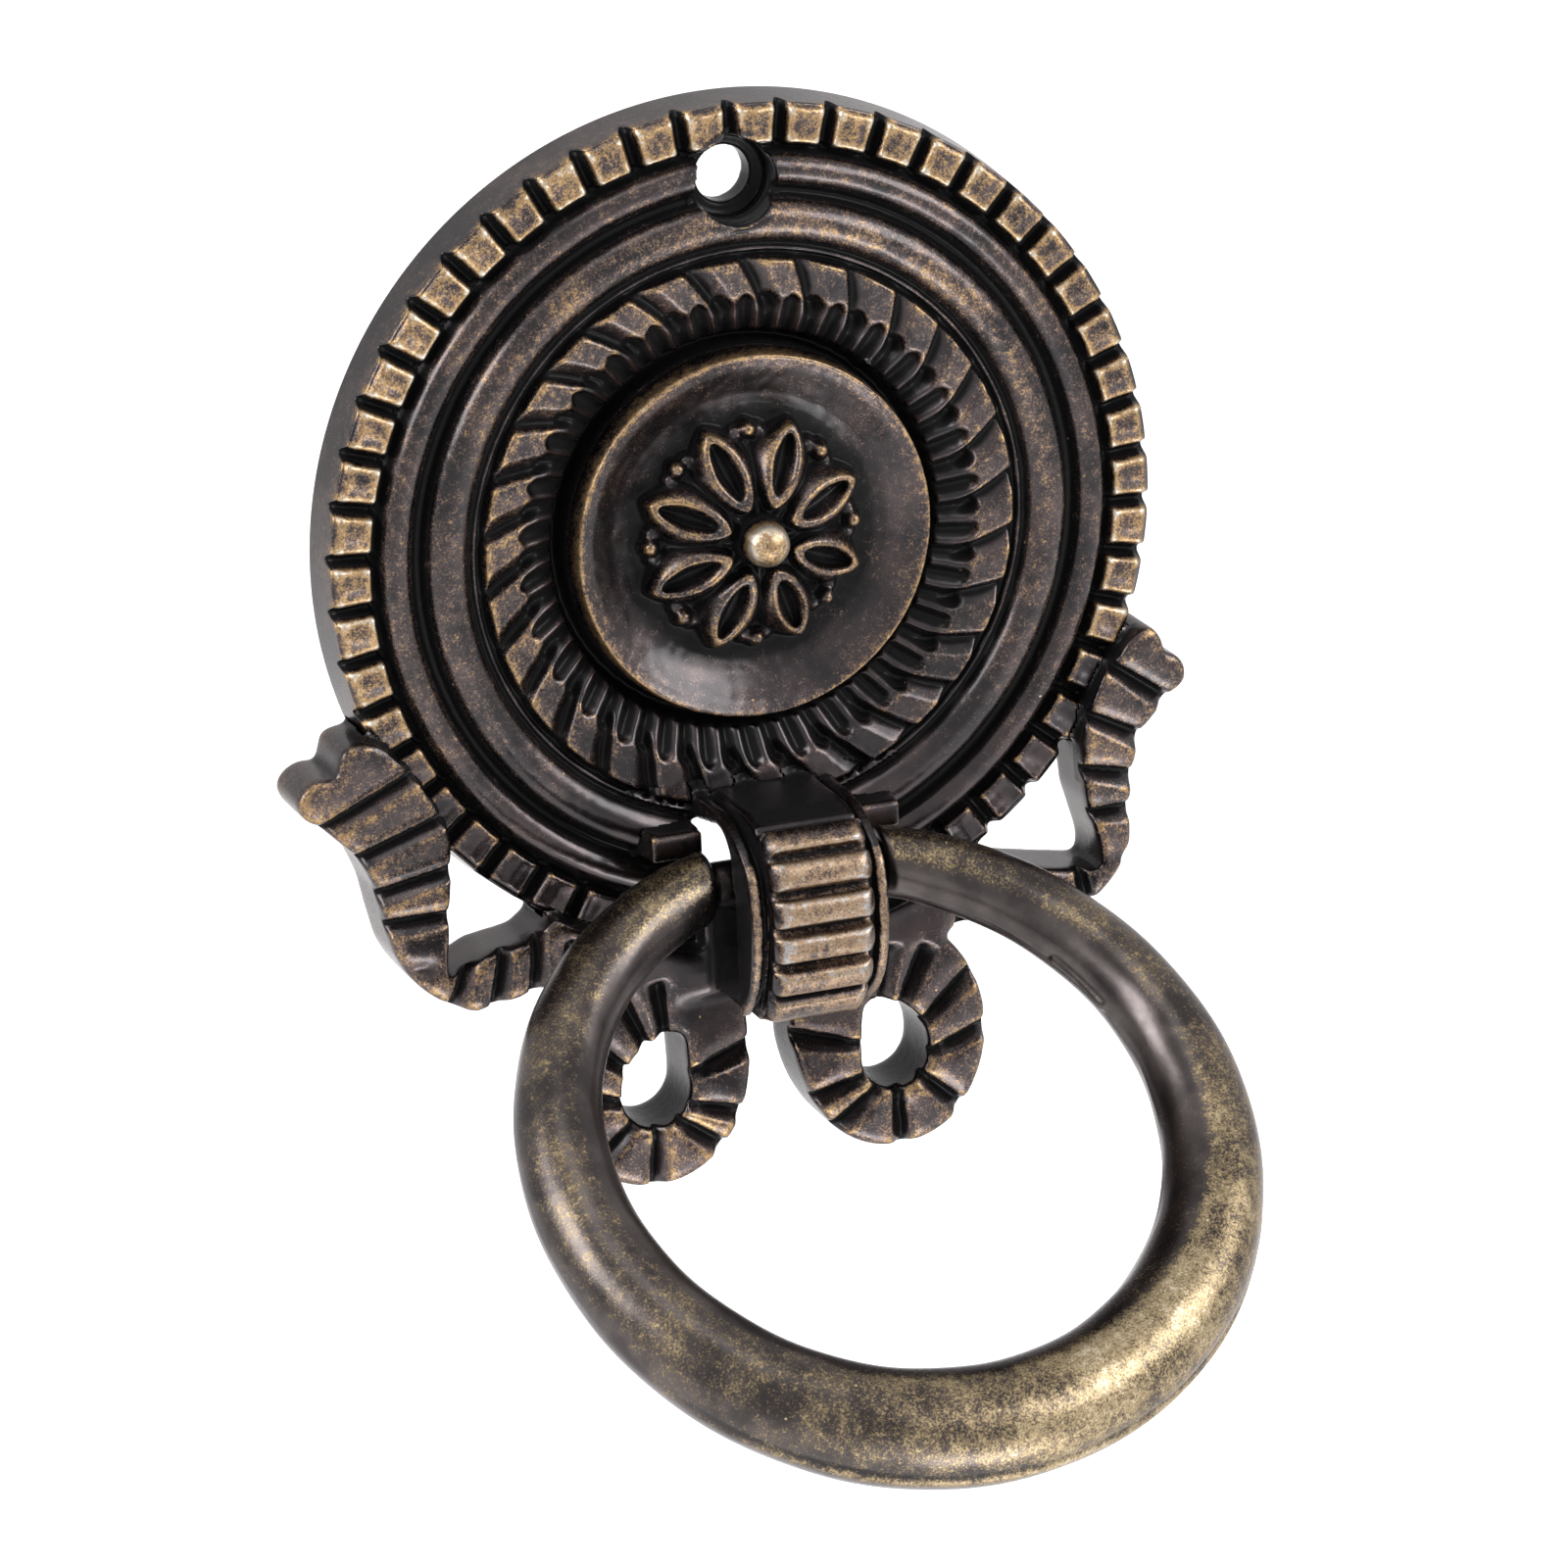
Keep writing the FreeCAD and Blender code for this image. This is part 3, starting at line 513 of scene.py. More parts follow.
# Grooves across the ribbon from its outer to its inner edge. The tails' points are turns about the
# plate's middle with millimetres outside its edge, the loops' are turns about the loop's middle.
ribbon = {
    "face": 4.6,
    "depth": 0.62,
    "steep": 0.32,
    "slope": 0.95,
    "left": [
        ((-27.0, 5.0), (-27.7, -1.8)), ((-32.2, 4.3), (-35.8, -1.7)), ((-36.8, 4.7), (-42.0, 0.2)),
        ((-39.9, 5.5), (-45.9, 2.2)), ((-52.6, 7.1), (-51.0, 4.0)), ((-57.0, 6.0), (-53.7, 2.4)),
        ((-60.6, 4.5), (-56.7, 0.9)), ((-66.1, 3.2), (-61.7, 0.5)),
    ],
    "right": [
        ((-28.1, 3.7), (-26.4, -0.9)), ((-33.2, 3.3), (-34.2, -1.1)), ((-37.2, 4.1), (-40.9, 0.6)),
        ((-40.3, 5.0), (-45.1, 2.6)), ((-52.2, 7.3), (-49.6, 4.8)), ((-57.0, 6.0), (-53.7, 2.4)),
        ((-60.6, 4.5), (-56.7, 0.9)), ((-66.1, 3.2), (-61.7, 0.5)),
    ],
    "loops": [(163, 157), (201, 209), (224, 238), (275, 277), (317, 316), (10, 353), (42, 42), (72, 84), (93, 110)],
    "loopMiddle": (7.0, -31.0),
    "loopOuter": 6.2,
    "loopInner": 2.2,
    "dipHeight": 3.3,
    "dipTop": -26.0,
}


def ribbonTop(x, z):
    fall = ribbon["face"] - ribbon["dipHeight"]
    dipped = ribbon["dipHeight"] + fall * (np.abs(x) - 1.0) / 5.4 + fall * (ribbon["dipTop"] - z) / 9.0
    return np.where(z < ribbon["dipTop"], np.minimum(ribbon["face"], dipped), ribbon["face"])


def grooveEnds():
    ends = []
    for sign, side in ((-1, "left"), (1, "right")):
        for pair in ribbon[side]:
            ends.append([(sign * (plate["radius"] + out) * math.cos(math.radians(turn)),
                          (plate["radius"] + out) * math.sin(math.radians(turn))) for turn, out in pair])
        for outer, inner in ribbon["loops"]:
            ends.append([(sign * (ribbon["loopMiddle"][0] + reach * math.cos(math.radians(turn))),
                          ribbon["loopMiddle"][1] + reach * math.sin(math.radians(turn)))
                         for turn, reach in ((outer, ribbon["loopOuter"]), (inner, ribbon["loopInner"]))])
    return ends


def rounded(points, faces):
    # A casting's soft edges: slight on the knuckle, broad on the ribbon
    soft = relaxed(points, faces, casting["knuckleRounds"])
    softer = relaxed(soft, faces, casting["ribbonRounds"])
    x, height, z = points[:, 0], -points[:, 1], points[:, 2]
    share = smoothRamp(np.hypot(x, z), 22.2, 24.0) * (1 - (np.abs(x) < 4.6) * smoothRamp(height, 4.7, 5.3))
    return soft + (softer - soft) * share[:, None]


def cutRibbon(points):
    # Widens each groove into a valley with a steep upper side and a sloping lower side
    x, height, z = points[:, 0], -points[:, 1], points[:, 2]
    depth = np.zeros(len(points))
    for (x0, z0), (x1, z1) in grooveEnds():
        length = math.hypot(x1 - x0, z1 - z0)
        ux, uz = (x1 - x0) / length, (z1 - z0) / length
        along = (x - x0) * ux + (z - z0) * uz
        across = (z - z0) * ux - (x - x0) * uz
        if ux < 0:
            across = -across
        taper = 1.1 - 0.45 * np.clip(along / length, 0, 1)
        width = taper * np.where(across > 0, ribbon["steep"], ribbon["slope"])
        share = np.clip(1 - np.abs(across) / width, 0, 1)
        inside = smoothRamp(along, -0.3, 0.1) * smoothRamp(length - along, -0.3, 0.1)
        depth = np.maximum(depth, ribbon["depth"] * share * inside)
    beside = (np.hypot(x, z) > 22.3) | (z < -24.5)
    clear = np.maximum(smoothRamp(np.abs(x), 4.1, 4.5), smoothRamp(z, -26.0, -26.6))
    near = smoothRamp(height - ribbonTop(x, z), -1.1, -0.3)
    points[:, 1] += depth * near * beside * clear


knuckle = {
    "centreHeight": 1.55,
    "centreZ": -19.1,
    "ribRadius": 11.64,
    "ribHalfWidth": 3.0,
    "gapTurns": (17.3, 6.85, -3.6, -14.05, -24.5),
    "gapHalf": 0.52,
    "gapDepth": 0.34,
}


def roundRibs(points):
    # The ribs of the knuckle fall off towards their ends and towards the gaps between them
    k = knuckle
    height, z = -points[:, 1] - k["centreHeight"], points[:, 2] - k["centreZ"]
    reach = np.hypot(height, z)
    beside = np.abs(points[:, 0])
    fall = 0.45 * smoothRamp(beside, k["ribHalfWidth"] - 1.0, k["ribHalfWidth"]) ** 2 * (beside < k["ribHalfWidth"] + 0.1)
    turn = np.degrees(np.arctan2(z, height))
    for gapTurn in k["gapTurns"]:
        across = np.abs(np.radians(turn - gapTurn)) * k["ribRadius"]
        gap = k["gapDepth"] * np.clip(1 - across / k["gapHalf"], 0, 1) ** 1.3
        fall = np.maximum(fall, gap * (beside < k["ribHalfWidth"]))
    fall = fall * smoothRamp(reach, 10.6, 11.05) * (height > 3.5)
    points[:, 1] += fall * height / reach
    points[:, 2] -= fall * z / reach


def roughenScrewHole(points):
    # Tool marks run round the lower wall of the screw's mouth
    height, z = -points[:, 1], points[:, 2] - openings["screwZ"]
    reach = np.hypot(points[:, 0], z)
    marked = smoothRamp(reach, 1.65, 1.8) * smoothRamp(reach, 2.7, 2.4) * smoothRamp(z, 0.6, -0.6)
    shift = 0.055 * marked * np.sin(2 * math.pi * height / 0.42) * (height > 0.7) * (height < 3.4)
    points[:, 0] += shift * points[:, 0] / np.maximum(reach, 1e-6)
    points[:, 2] += shift * z / np.maximum(reach, 1e-6)


def facing(points, faces):
    corners = points[faces]
    across = np.cross(corners[:, 2] - corners[:, 0], corners[:, 3] - corners[:, 1])
    normals = np.stack([np.bincount(faces.ravel(), np.repeat(across[:, axis], 4), len(points)) for axis in range(3)], -1)
    return normals / np.maximum(np.linalg.norm(normals, axis=1, keepdims=True), 1e-9)


def relaxed(points, faces, rounds):
    # Moves each point towards its neighbours, to tell what stands out from what lies deep
    starts = faces.ravel()
    ends = np.roll(faces, -1, 1).ravel()
    degree = np.maximum(np.bincount(starts, minlength=len(points)) + np.bincount(ends, minlength=len(points)), 1)
    for _ in range(rounds):
        moved = np.empty_like(points)
        for axis in range(3):
            moved[:, axis] = (np.bincount(starts, points[ends, axis], len(points))
                              + np.bincount(ends, points[starts, axis], len(points))) / degree
        points = 0.5 * points + 0.5 * moved
    return points


def castingMasks(points, normals, faces):
    fine = relaxed(points, faces, 8)
    broad = relaxed(fine, faces, 60)
    outFine = ((points - fine) * normals).sum(1)
    outBroad = ((points - broad) * normals).sum(1)
    wear, recess = 4.5 * outFine + 1.2 * outBroad, -(5.0 * outFine + 1.4 * outBroad)
    x, height, z = points[:, 0], -points[:, 1], points[:, 2]
    # Ribs and ribbon are rubbed; the knuckle's sides and top, the stops and the holes' walls are not. The knuckle, the
    # stops and the plate around them also get painted shade, full on the knuckle and more where they face away from the
    # front.
    front = smoothRamp(-normals[:, 1], 0.5, 0.9)
    fromCentre = np.hypot(height - 1.55, z + 19.1)
    drum = (np.abs(x) < 4.3) & (fromCentre > 10.3) & (z > -26.8) & (height > 1.5)
    rubbed = drum * smoothRamp(z, -12.6, -16.2) * smoothRamp(np.abs(normals[:, 0]), 0.8, 0.5)
    rib = drum & (np.abs(x) < 3.1)
    shelteredAndShaded = ((np.abs(x) < 8.2) & (z > -24.5) & (height > 1.5)) * (1 - rubbed)
    wear = wear + np.where(rib, 0.5, 0.24) * rubbed - 0.45 * shelteredAndShaded
    recess = recess + 0.4 * shelteredAndShaded * np.where(drum, 1.0, 1 - 0.7 * front)
    onRibbon = (np.hypot(x, z) > 23.0) & (height > 3.0)
    wear = wear + np.where(onRibbon, 0.2 * front * smoothRamp(np.hypot(0.8 * x, z + 20.0), 7.0, 15.5) - 0.17, 0)
    wear = wear + np.where(onRibbon, 0.07 * smoothRamp(-x, 18.0, 24.0), 0)
    wall = smoothRamp(np.abs(normals[:, 1]), 0.6, 0.3)
    # Painted shade on the ribbon's sideways walls, growing towards the bottom, and on all walls below the knuckle
    recess = recess + 0.1 * wall * (np.hypot(x, z) > 23.8) * smoothRamp(z, -5.0, -20.0)
    recess = recess + 0.18 * wall * smoothRamp(z, -25.0, -27.0)
    # Painted shade on the ribbon's walls that face the plate's middle, in the crease at its foot; they are also kept
    # unworn
    reach = np.hypot(x, z)
    inward = -(normals[:, 0] * x + normals[:, 2] * z) / np.maximum(reach, 1)
    foot = smoothRamp(inward, 0.25, 0.6) * (reach > 22.2) * (reach < 25.6) * (height > 3.0) * (z < -6.0)
    wear, recess = wear - 0.4 * foot, recess + 0.3 * foot
    # The screw's mouth is kept unworn and darkened with painted shade inside the hole
    screwHoleShade = smoothRamp(np.hypot(x, z - openings["screwZ"]), 2.75, 2.45) * (z > 10)
    wear, recess = wear - 0.5 * screwHoleShade, recess + 0.3 * screwHoleShade
    # Painted shade on the walls inside the ribbon's loops and in its corners beside the plate
    inLoop = np.hypot(np.abs(x) - 7.0, z + 30.7) < 3.5
    turn = degreesAround(np.abs(x), z)
    inCorner = (np.hypot(x, z) < 29.0) & (np.hypot(x, z) > 23.8) & (turn < -36) & (turn > -58) & (np.abs(x) < 19.6)
    shadedWalls = wall * (inLoop | inCorner)
    return {"wear": wear - 0.4 * shadedWalls, "recess": recess - 0.1 * shadedWalls}


def keptPart(points, normals, faces, masks, chosen):
    faces = faces[chosen]
    used, places = np.unique(faces, return_inverse=True)
    return points[used], places.reshape(faces.shape), {name: values[used] for name, values in masks.items()}


def addCasting(material):
    points, normals, faces = softenedCasting()
    points = rounded(points, faces)
    cutRibbon(points)
    roundRibs(points)
    roughenScrewHole(points)
    normals = facing(points, faces)
    masks = castingMasks(points, normals, faces)
    middle = points[faces].mean(1)
    x, height, z = middle[:, 0], -middle[:, 1], middle[:, 2]
    radius = np.hypot(x, z)
    proud = height - sampled("height", x, z) > casting["proud"]
    onFace = radius < plate["radius"] - 0.12
    nearMiddle = (np.abs(x) < 8.2) & (z < -13.6)
    nearOpening = isOpen(x, z, 0.45)
    outside = radius > plate["radius"] + 0.02
    atRibbonFoot = (radius > 22.2) & (z < -7.0)
    # The back, with the walls of its recess but not the plate's side
    looksBack = (normals[faces].mean(1)[:, 1] > 0.3) | (radius < 23.0)
    back = (height < 1.1) & looksBack & (radius < plate["radius"] + 0.02)
    shows = outside | (atRibbonFoot & proud) | (onFace & proud & nearMiddle) | nearOpening | back
    knuckleZone = (np.abs(x) < 4.6) & (z > -26.3) & (z < -13.0) & (height > 1.5)
    zones = {
        "castBack": shows & back & ~knuckleZone,
        "knuckle": shows & knuckleZone,
        "ribbonLeft": shows & ~back & ~knuckleZone & (x < 0),
        "ribbonRight": shows & ~back & ~knuckleZone & (x >= 0),
    }
    for name, chosen in zones.items():
        part = keptPart(points, normals, faces, masks, chosen)
        metal = knuckleMetal if name == "knuckle" else material
        addPiece(name, part[0], part[1], part[2], metal, "plate", "backplate")


# Ring
ring = {
    "pivotHeight": 7.95,
    "pivotZ": -18.3,
    "radius": 17.9,
    "endX": 4.9,
    "endTube": 2.0,
    "footTube": 3.12,
    "endRound": 0.45,
    "spigotRadius": 1.3,
    "spigotEnd": 1.2,
    "swing": 51.0,
    "rows": 560,
    "columns": 88,
}


def ringRows():
    # Centre, direction and tube radius of each section while the ring hangs straight down
    r = ring
    drop = math.sqrt(r["radius"] ** 2 - r["endX"] ** 2)
    first = math.asin((r["endX"] + r["endRound"]) / r["radius"])
    turns = np.linspace(first, 2 * math.pi - first, r["rows"])
    share = (1 - np.cos(turns)) / 2
    tube = r["endTube"] + (r["footTube"] - r["endTube"]) * share
    centres = np.stack([r["radius"] * np.sin(turns), 0 * turns, r["radius"] * np.cos(turns) - drop], -1)
    directions = np.stack([np.cos(turns), 0 * turns, -np.sin(turns)], -1)
    return turns, centres, directions, tube


def addRing(material):
    r = ring
    turns, centres, directions, tube = ringRows()
    ends = []
    for side in (0, -1):
        sign = 1 if side == 0 else -1
        axis = np.array([sign, 0.0, 0.0])
        base, size = centres[side], tube[side]
        rowsHere = []
        for angle in np.linspace(0.12, 0.5, 7) * math.pi:
            x = r["endX"] + r["endRound"] * (1 - math.sin(angle))
            rowsHere.append((x, size - r["endRound"] * (1 - math.cos(angle))))
        rowsHere += [(r["endX"], r["spigotRadius"] + 0.12), (r["endX"] - 0.12, r["spigotRadius"])]
        rowsHere += [(x, r["spigotRadius"]) for x in np.linspace(r["endX"] - 0.4, r["spigotEnd"] + 0.2, 14)]
        rowsHere += [(r["spigotEnd"] + 0.05, r["spigotRadius"] - 0.07), (r["spigotEnd"], r["spigotRadius"] - 0.25),
                     (r["spigotEnd"], 0.02)]
        ends.append([(np.array([sign * x, 0.0, base[2] * 0]), axis if side == 0 else axis, s) for x, s in rowsHere])
    # Near its ends the section turns square to the pivot
    square = 1 - smoothRamp(np.minimum(turns, 2 * math.pi - turns), turns[0], turns[0] + 0.2)
    target = np.where(centres[:, :1] > 0, 1.0, -1.0) * np.array([[1.0, 0, 0]])
    target = target * np.sign((directions * target).sum(1, keepdims=True) + 1e-9)
    directions = directions * (1 - square[:, None]) + target * square[:, None]
    directions /= np.linalg.norm(directions, axis=1, keepdims=True)
    outward = centres - np.array([0, 0, -math.sqrt(r["radius"] ** 2 - r["endX"] ** 2)])
    outward -= (outward * directions).sum(1, keepdims=True) * directions
    outward /= np.linalg.norm(outward, axis=1, keepdims=True)
    around = np.linspace(0, 2 * math.pi, r["columns"], endpoint=False)
    front = np.array([0, -1.0, 0])
    # around 0 is the ring's outer edge, a quarter turn is its front
    size = tube[:, None] + ringRelief(turns[:, None], around[None, :])
    body = (centres[:, None, :] + size[..., None] * (np.cos(around)[None, :, None] * outward[:, None, :]
            + np.sin(around)[None, :, None] * front))
    rows = [body]
    up = np.array([0, 0, 1.0])
    for side, group in enumerate(ends):
        made = np.stack([centre + s * (np.cos(around)[:, None] * outward[0 if side == 0 else -1] * 1.0
                         + np.sin(around)[:, None] * front) for centre, _, s in group])
        if side == 0:
            rows.insert(0, made[::-1])
        else:
            rows.append(made)
    grid = np.concatenate(rows)
    points = grid.reshape(-1, 3)
    swing = math.radians(r["swing"])
    y, z = points[:, 1].copy(), points[:, 2].copy()
    points[:, 1] = y * math.cos(swing) + z * math.sin(swing) - r["pivotHeight"]
    points[:, 2] = -y * math.sin(swing) + z * math.cos(swing) + r["pivotZ"]
    faces = gridFaces(len(grid), r["columns"], True)[:, ::-1]
    wear, recess = np.full(grid.shape[:2], -0.4), np.zeros(grid.shape[:2])
    first = (len(grid) - len(turns)) // 2
    body = slice(first, first + len(turns))
    wear[body] = ringWear(turns[:, None], around[None, :])
    recess[body] = ringRecess(turns[:, None], around[None, :])
    masks = {"wear": wear, "recess": recess}
    addPiece("pullRing", points, faces, masks, material, "ring", "pull_ring")


def ringRelief(turn, around):
    # Slight unevenness, the shift between the mould's halves on the outer edge, the parting line on
    # the inner edge and a thin piece of flash there
    uneven = 0.03 * np.sin(3.3 * turn + 1.2 * np.sin(around)) * np.cos(2.0 * around + 5.1 * turn)
    uneven = uneven + 0.015 * np.sin(17.0 * turn + 2.0 * np.sin(3 * around))
    fromOuter = (around + math.pi) % (2 * math.pi) - math.pi
    fromInner = around - math.pi
    broken = 0.5 + 0.5 * np.sin(9.0 * turn + 2.0 * np.sin(4.0 * turn))
    low = smoothRamp(turn, 1.6, 2.1) * (1 - smoothRamp(turn, 3.5, 4.4))
    shift = 0.13 * low * smoothRamp(-fromOuter, 0.03, 0.08) * (1 - smoothRamp(-fromOuter, 0.3, 1.3))
    groove = -0.07 * low * np.exp(-((fromOuter - 0.03) / 0.07) ** 2)
    line = 0.05 * broken * np.exp(-(fromInner / 0.035) ** 2) + 0.02 * (1 - low) * np.exp(-(fromOuter / 0.04) ** 2)
    along = smoothRamp(turn, 0.93, 0.95) * (1 - smoothRamp(turn, 1.19, 1.21))
    flash = 0.22 * along * np.exp(-((fromInner + 0.05) / 0.1) ** 4)
    return uneven + shift + groove + line + flash


def ringWear(turn, around):
    # The front and the foot are rubbed; the inner edge is made darker and the left limb keeps its patina
    front = np.sin(around)
    outward = np.cos(around)
    foot = np.exp(-((turn - 2.55) / 0.95) ** 2)
    right = np.exp(-((turn - 1.3) / 0.4) ** 2)
    leftEnd = np.exp(-((turn - 6.1) / 0.5) ** 2)
    rightEnd = np.exp(-((turn - 0.35) / 0.4) ** 2)
    wear = -0.3 + 0.62 * foot - 0.08 * right + 0.25 * rightEnd + 0.3 * leftEnd + 0.3 * smoothRamp(front, -0.2, 0.9)
    edge = 0.3 + 0.12 * np.sin(2.3 * turn + 0.4)
    wear = wear - 0.75 * smoothRamp(-outward, edge, edge + 0.3) * (1 - 0.8 * leftEnd)
    fromOuter = (around + math.pi) % (2 * math.pi) - math.pi
    lip = smoothRamp(-fromOuter, 0.02, 0.07) * (1 - smoothRamp(-fromOuter, 0.12, 0.3))
    return wear + 0.5 * lip * smoothRamp(turn, 1.6, 2.1) * (1 - smoothRamp(turn, 3.5, 4.4))


def ringRecess(turn, around):
    fromOuter = (around + math.pi) % (2 * math.pi) - math.pi
    low = smoothRamp(turn, 1.6, 2.1) * (1 - smoothRamp(turn, 3.5, 4.4))
    return 0.4 * low * np.exp(-((fromOuter - 0.06) / 0.09) ** 2)


# Finishes
def newGroup(name, inputs, outputs):
    group = bpy.data.node_groups.new(name, "ShaderNodeTree")
    for label, kind, value in inputs:
        socket = group.interface.new_socket(name=label, in_out="INPUT", socket_type=kind)
        socket.default_value = value
    for label, kind in outputs:
        group.interface.new_socket(name=label, in_out="OUTPUT", socket_type=kind)
    return group, group.nodes.new("NodeGroupInput"), group.nodes.new("NodeGroupOutput")


def mathNode(tree, operation, first, second=None, clamp=False):
    node = tree.nodes.new("ShaderNodeMath")
    node.operation = operation
    node.use_clamp = clamp
    for socket, value in zip(node.inputs, (first, second)):
        if value is None:
            continue
        if isinstance(value, (int, float)):
            socket.default_value = value
        else:
            tree.links.new(value, socket)
    return node.outputs[0]


def noiseNode(tree, place, scale, detail=4.0, roughness=0.6, distortion=0.0):
    node = tree.nodes.new("ShaderNodeTexNoise")
    node.inputs["Scale"].default_value = scale
    node.inputs["Detail"].default_value = detail
    node.inputs["Roughness"].default_value = roughness
    node.inputs["Distortion"].default_value = distortion
    tree.links.new(place, node.inputs["Vector"])
    return node.outputs["Fac"]


def rampNode(tree, value, low, high):
    node = tree.nodes.new("ShaderNodeMapRange")
    node.interpolation_type = "SMOOTHSTEP"
    tree.links.new(value, node.inputs["Value"])
    for label, limit in (("From Min", low), ("From Max", high)):
        if isinstance(limit, (int, float)):
            node.inputs[label].default_value = limit
        else:
            tree.links.new(limit, node.inputs[label])
    return node.outputs["Result"]


def colourMix(tree, share, first, second):
    node = tree.nodes.new("ShaderNodeMix")
    node.data_type = "RGBA"
    tree.links.new(share, node.inputs["Factor"])
    for socket, value in ((node.inputs[6], first), (node.inputs[7], second)):
        if isinstance(value, tuple):
            socket.default_value = value
        else:
            tree.links.new(value, socket)
    return node.outputs[2]


def buildWearGroup():
    # Where the dark patina is thin, where bare metal shows, where the zinc under it shows, where it has pooled, and
    # where painted shade or a painted highlight falls
    group, given, out = newGroup("antiqueWear", [
        ("Wear", "NodeSocketFloat", 0.0), ("Recess", "NodeSocketFloat", 0.0), ("Amount", "NodeSocketFloat", 0.5),
        ("Specks", "NodeSocketFloat", 1.7), ("Patches", "NodeSocketFloat", 1.3), ("Clouds", "NodeSocketFloat", 0.7),
    ], [
        ("Thin", "NodeSocketFloat"), ("Bare", "NodeSocketFloat"), ("Through", "NodeSocketFloat"),
        ("PooledAndPaintedShade", "NodeSocketFloat"), ("Mottle", "NodeSocketFloat"), ("Grain", "NodeSocketFloat"),
    ])
    place = group.nodes.new("ShaderNodeTexCoord").outputs["Object"]
    speckle = noiseNode(group, place, 7600.0, 3.0, 0.8)
    patches = noiseNode(group, place, 2000.0, 5.0, 0.7)
    clouds = noiseNode(group, place, 300.0, 4.0, 0.6)
    raised = mathNode(group, "ADD", given.outputs["Wear"], given.outputs["Amount"])
    for noise, weight in ((speckle, "Specks"), (patches, "Patches"), (clouds, "Clouds")):
        offset = mathNode(group, "MULTIPLY", mathNode(group, "SUBTRACT", noise, 0.5), given.outputs[weight])
        raised = mathNode(group, "ADD", raised, offset)
    chips = group.nodes.new("ShaderNodeTexVoronoi")
    chips.inputs["Scale"].default_value = 420.0
    group.links.new(place, chips.inputs["Vector"])
    raised = mathNode(group, "ADD", raised, rampNode(group, chips.outputs["Distance"], 0.045, 0.015))
    group.links.new(rampNode(group, raised, 0.0, 0.5), out.inputs["Thin"])
    group.links.new(rampNode(group, raised, 0.35, 0.75), out.inputs["Bare"])
    group.links.new(rampNode(group, raised, 0.85, 1.2), out.inputs["Through"])
    pooledAndPaintedShade = rampNode(group, given.outputs["Recess"], 0.02, 0.35)
    group.links.new(pooledAndPaintedShade, out.inputs["PooledAndPaintedShade"])
    group.links.new(clouds, out.inputs["Mottle"])
    # The lacquer lies lumpy where it pooled and under the painted shade
    lumpy = mathNode(group, "ADD", 0.8, mathNode(group, "MULTIPLY", pooledAndPaintedShade, 3.2))
    lumps = mathNode(group, "MULTIPLY", mathNode(group, "SUBTRACT", patches, 0.5), lumpy)
    group.links.new(mathNode(group, "ADD", speckle, lumps), out.inputs["Grain"])
    return group


plateFinish = {
    "pooledAndPaintedShade": (0.0085, 0.0083, 0.009, 1),
    "patina": (0.018, 0.016, 0.0175, 1),
    "patinaWarm": (0.047, 0.035, 0.036, 1),
    "thin": (0.1, 0.07, 0.06, 1),
    "bare": (0.31, 0.2, 0.095, 1),
    "through": (0.47, 0.41, 0.34, 1),
    "amount": -0.06,
    "specks": 2.3,
    "patches": 1.7,
    "clouds": 0.9,
    "metallic": 0.92,
    "roughness": 0.24,
    "edgeTint": (0.62, 0.6, 0.6, 1),
    "lacquerIndex": 1.11,
    "coat": 0.45,
    "coatRoughness": 0.2,
}

knuckleFinish = dict(plateFinish)
knuckleFinish["bare"] = (0.27, 0.185, 0.115, 1)
knuckleFinish["through"] = (0.33, 0.335, 0.345, 1)

ringFinish = {
    "pooledAndPaintedShade": (0.022, 0.02, 0.021, 1),
    "patina": (0.036, 0.03, 0.029, 1),
    "patinaWarm": (0.08, 0.067, 0.065, 1),
    "thin": (0.135, 0.1, 0.06, 1),
    "bare": (0.31, 0.24, 0.14, 1),
    "through": (0.55, 0.47, 0.36, 1),
    "amount": 0.06,
    "specks": 2.7,
    "patches": 1.8,
    "clouds": 1.5,
    "metallic": 0.95,
    "roughness": 0.22,
    "edgeTint": (0.8, 0.78, 0.8, 1),
    "lacquerIndex": 1.16,
    "coat": 0.25,
    "coatRoughness": 0.2,
}


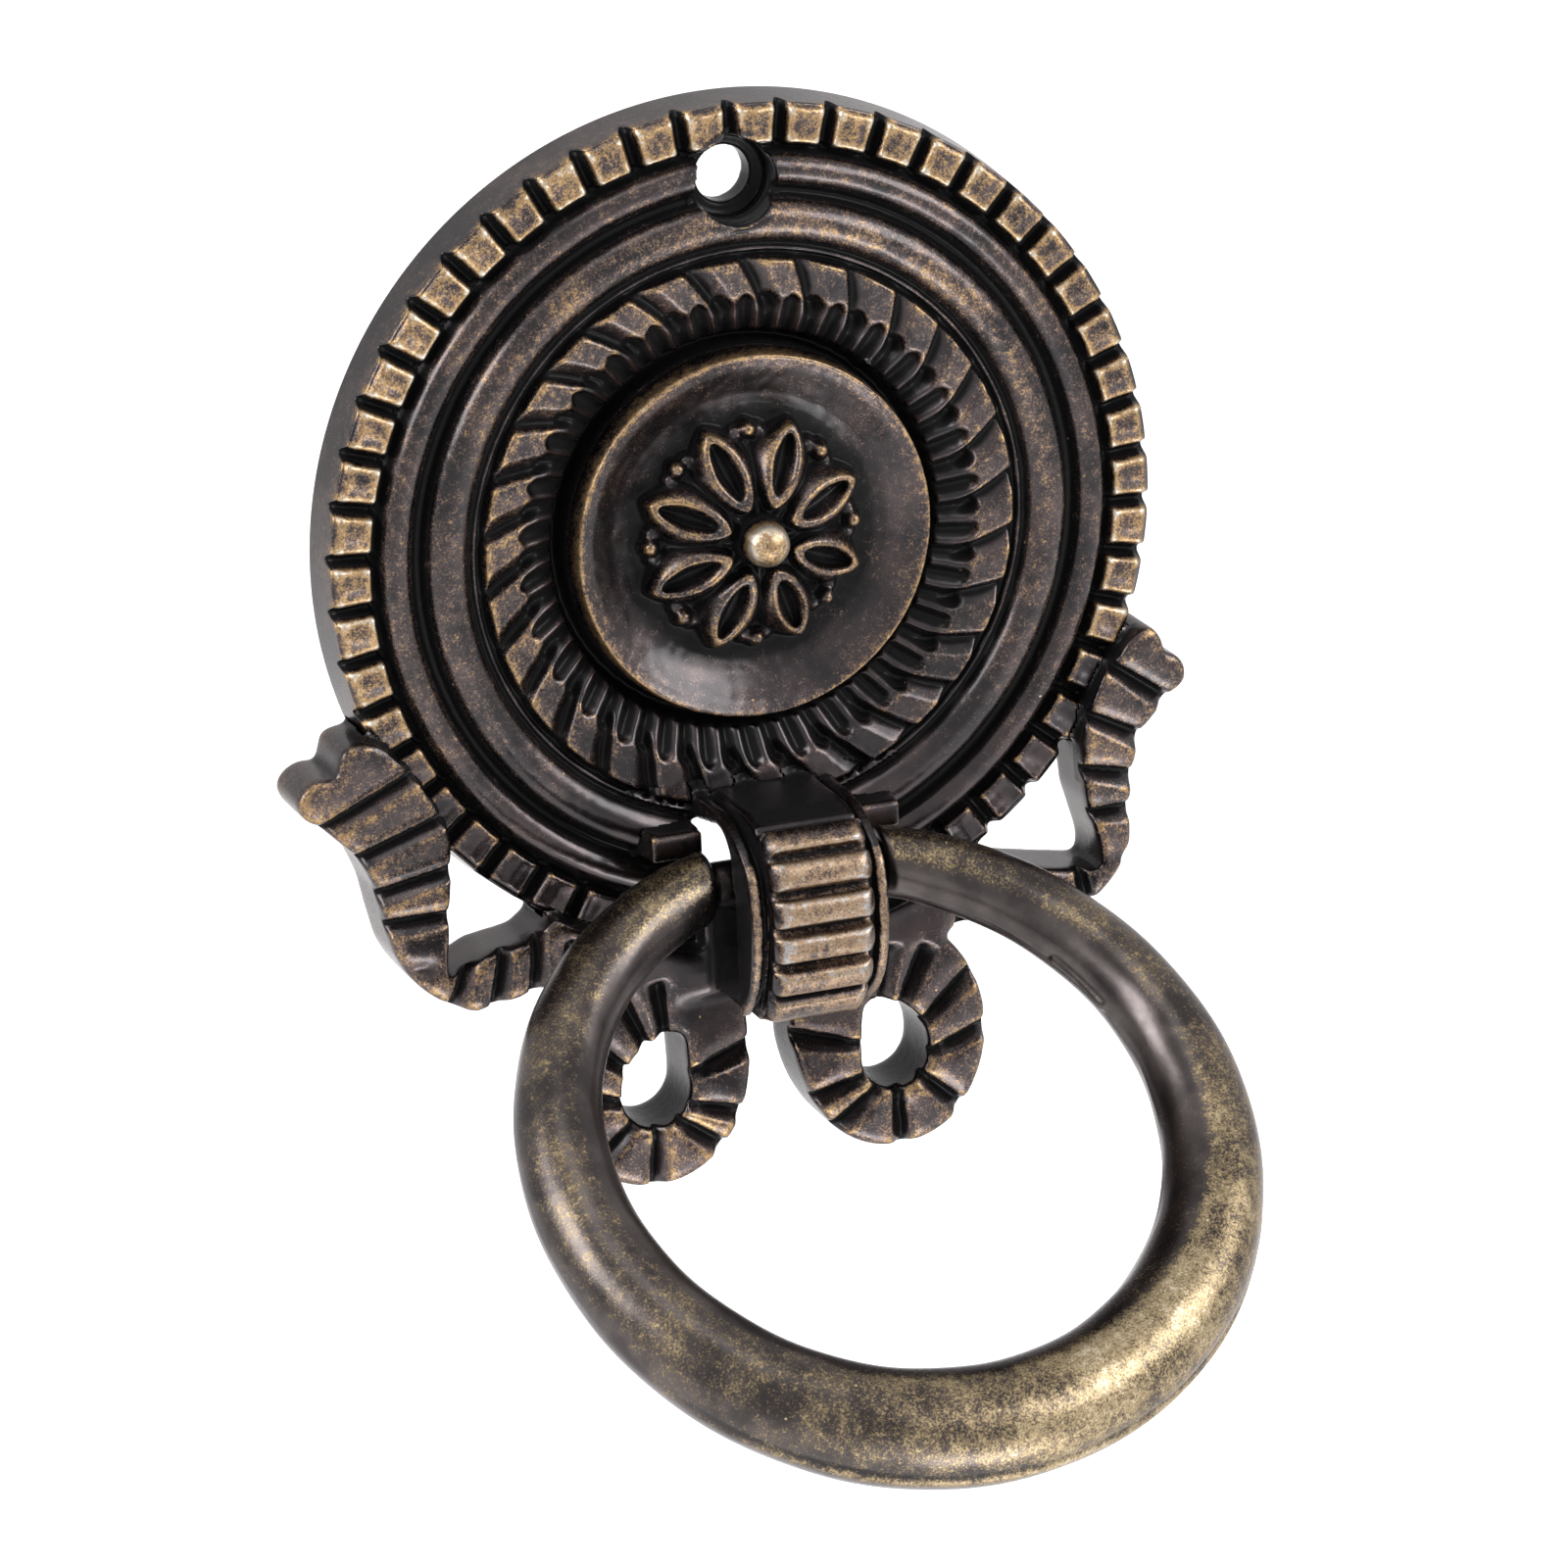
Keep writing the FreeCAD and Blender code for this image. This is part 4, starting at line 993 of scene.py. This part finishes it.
def castMaterial(name, finish, wearGroup):
    material = bpy.data.materials.new(name)
    material.use_nodes = True
    tree = material.node_tree
    shader = tree.nodes["Principled BSDF"]
    shader.inputs["Specular Tint"].default_value = finish["edgeTint"]
    shader.inputs["IOR"].default_value = finish["lacquerIndex"]
    worn = tree.nodes.new("ShaderNodeGroup")
    worn.node_tree = wearGroup
    for label in ("Amount", "Specks", "Patches", "Clouds"):
        worn.inputs[label].default_value = finish[label.lower()]
    for label, attribute in (("Wear", "wear"), ("Recess", "recess")):
        node = tree.nodes.new("ShaderNodeAttribute")
        node.attribute_name = attribute
        tree.links.new(node.outputs["Fac"], worn.inputs[label])
    colour = colourMix(tree, rampNode(tree, worn.outputs["Mottle"], 0.35, 0.65), finish["patina"], finish["patinaWarm"])
    colour = colourMix(tree, worn.outputs["PooledAndPaintedShade"], colour, finish["pooledAndPaintedShade"])
    for layer in ("Thin", "Bare", "Through"):
        colour = colourMix(tree, worn.outputs[layer], colour, finish[layer.lower()])
    tree.links.new(colour, shader.inputs["Base Color"])
    shader.inputs["Coat Roughness"].default_value = finish["coatRoughness"]
    # Metal shows everywhere but under the pooled lacquer and the painted shade
    bright = mathNode(tree, "SUBTRACT", 1.0, worn.outputs["PooledAndPaintedShade"])
    tree.links.new(mathNode(tree, "MULTIPLY", bright, finish["metallic"]), shader.inputs["Metallic"])
    dull = mathNode(tree, "MAXIMUM", worn.outputs["Bare"], mathNode(tree, "MULTIPLY", worn.outputs["PooledAndPaintedShade"], 0.75))
    shiny = mathNode(tree, "SUBTRACT", 1.0, dull)
    tree.links.new(mathNode(tree, "MULTIPLY", shiny, finish["coat"]), shader.inputs["Coat Weight"])
    rough = mathNode(tree, "ADD", finish["roughness"], mathNode(tree, "MULTIPLY", worn.outputs["Thin"], 0.14))
    rough = mathNode(tree, "SUBTRACT", rough, mathNode(tree, "MULTIPLY", worn.outputs["PooledAndPaintedShade"], 0.06))
    tree.links.new(rough, shader.inputs["Roughness"])
    bump = tree.nodes.new("ShaderNodeBump")
    bump.inputs["Strength"].default_value = 0.4
    bump.inputs["Distance"].default_value = 0.00004
    tree.links.new(worn.outputs["Grain"], bump.inputs["Height"])
    tree.links.new(bump.outputs["Normal"], shader.inputs["Normal"])
    return material


stageScene.view_settings.view_transform = "Standard"
addCamera()
addWorld()
addFloor()
addLamps()
print("stage: studio ready")
antiqueWear = buildWearGroup()
plateMetal = castMaterial("wornPlateBronze", plateFinish, antiqueWear)
knuckleMetal = castMaterial("wornKnuckleBronze", knuckleFinish, antiqueWear)
ringMetal = castMaterial("wornRingBrass", ringFinish, antiqueWear)
makeField()
facePiece("dish", 0.02, 11.02, 0.085, 500, plateMetal)
facePiece("leafWreath", 11.02, 15.64, 0.085, 900, plateMetal)
facePiece("mouldings", 15.64, 21.3, 0.1, 720, plateMetal)
rimPiece("dentilRim", 21.3, 0.085, 1250, plateMetal)
addCasting(plateMetal)
addRing(ringMetal)
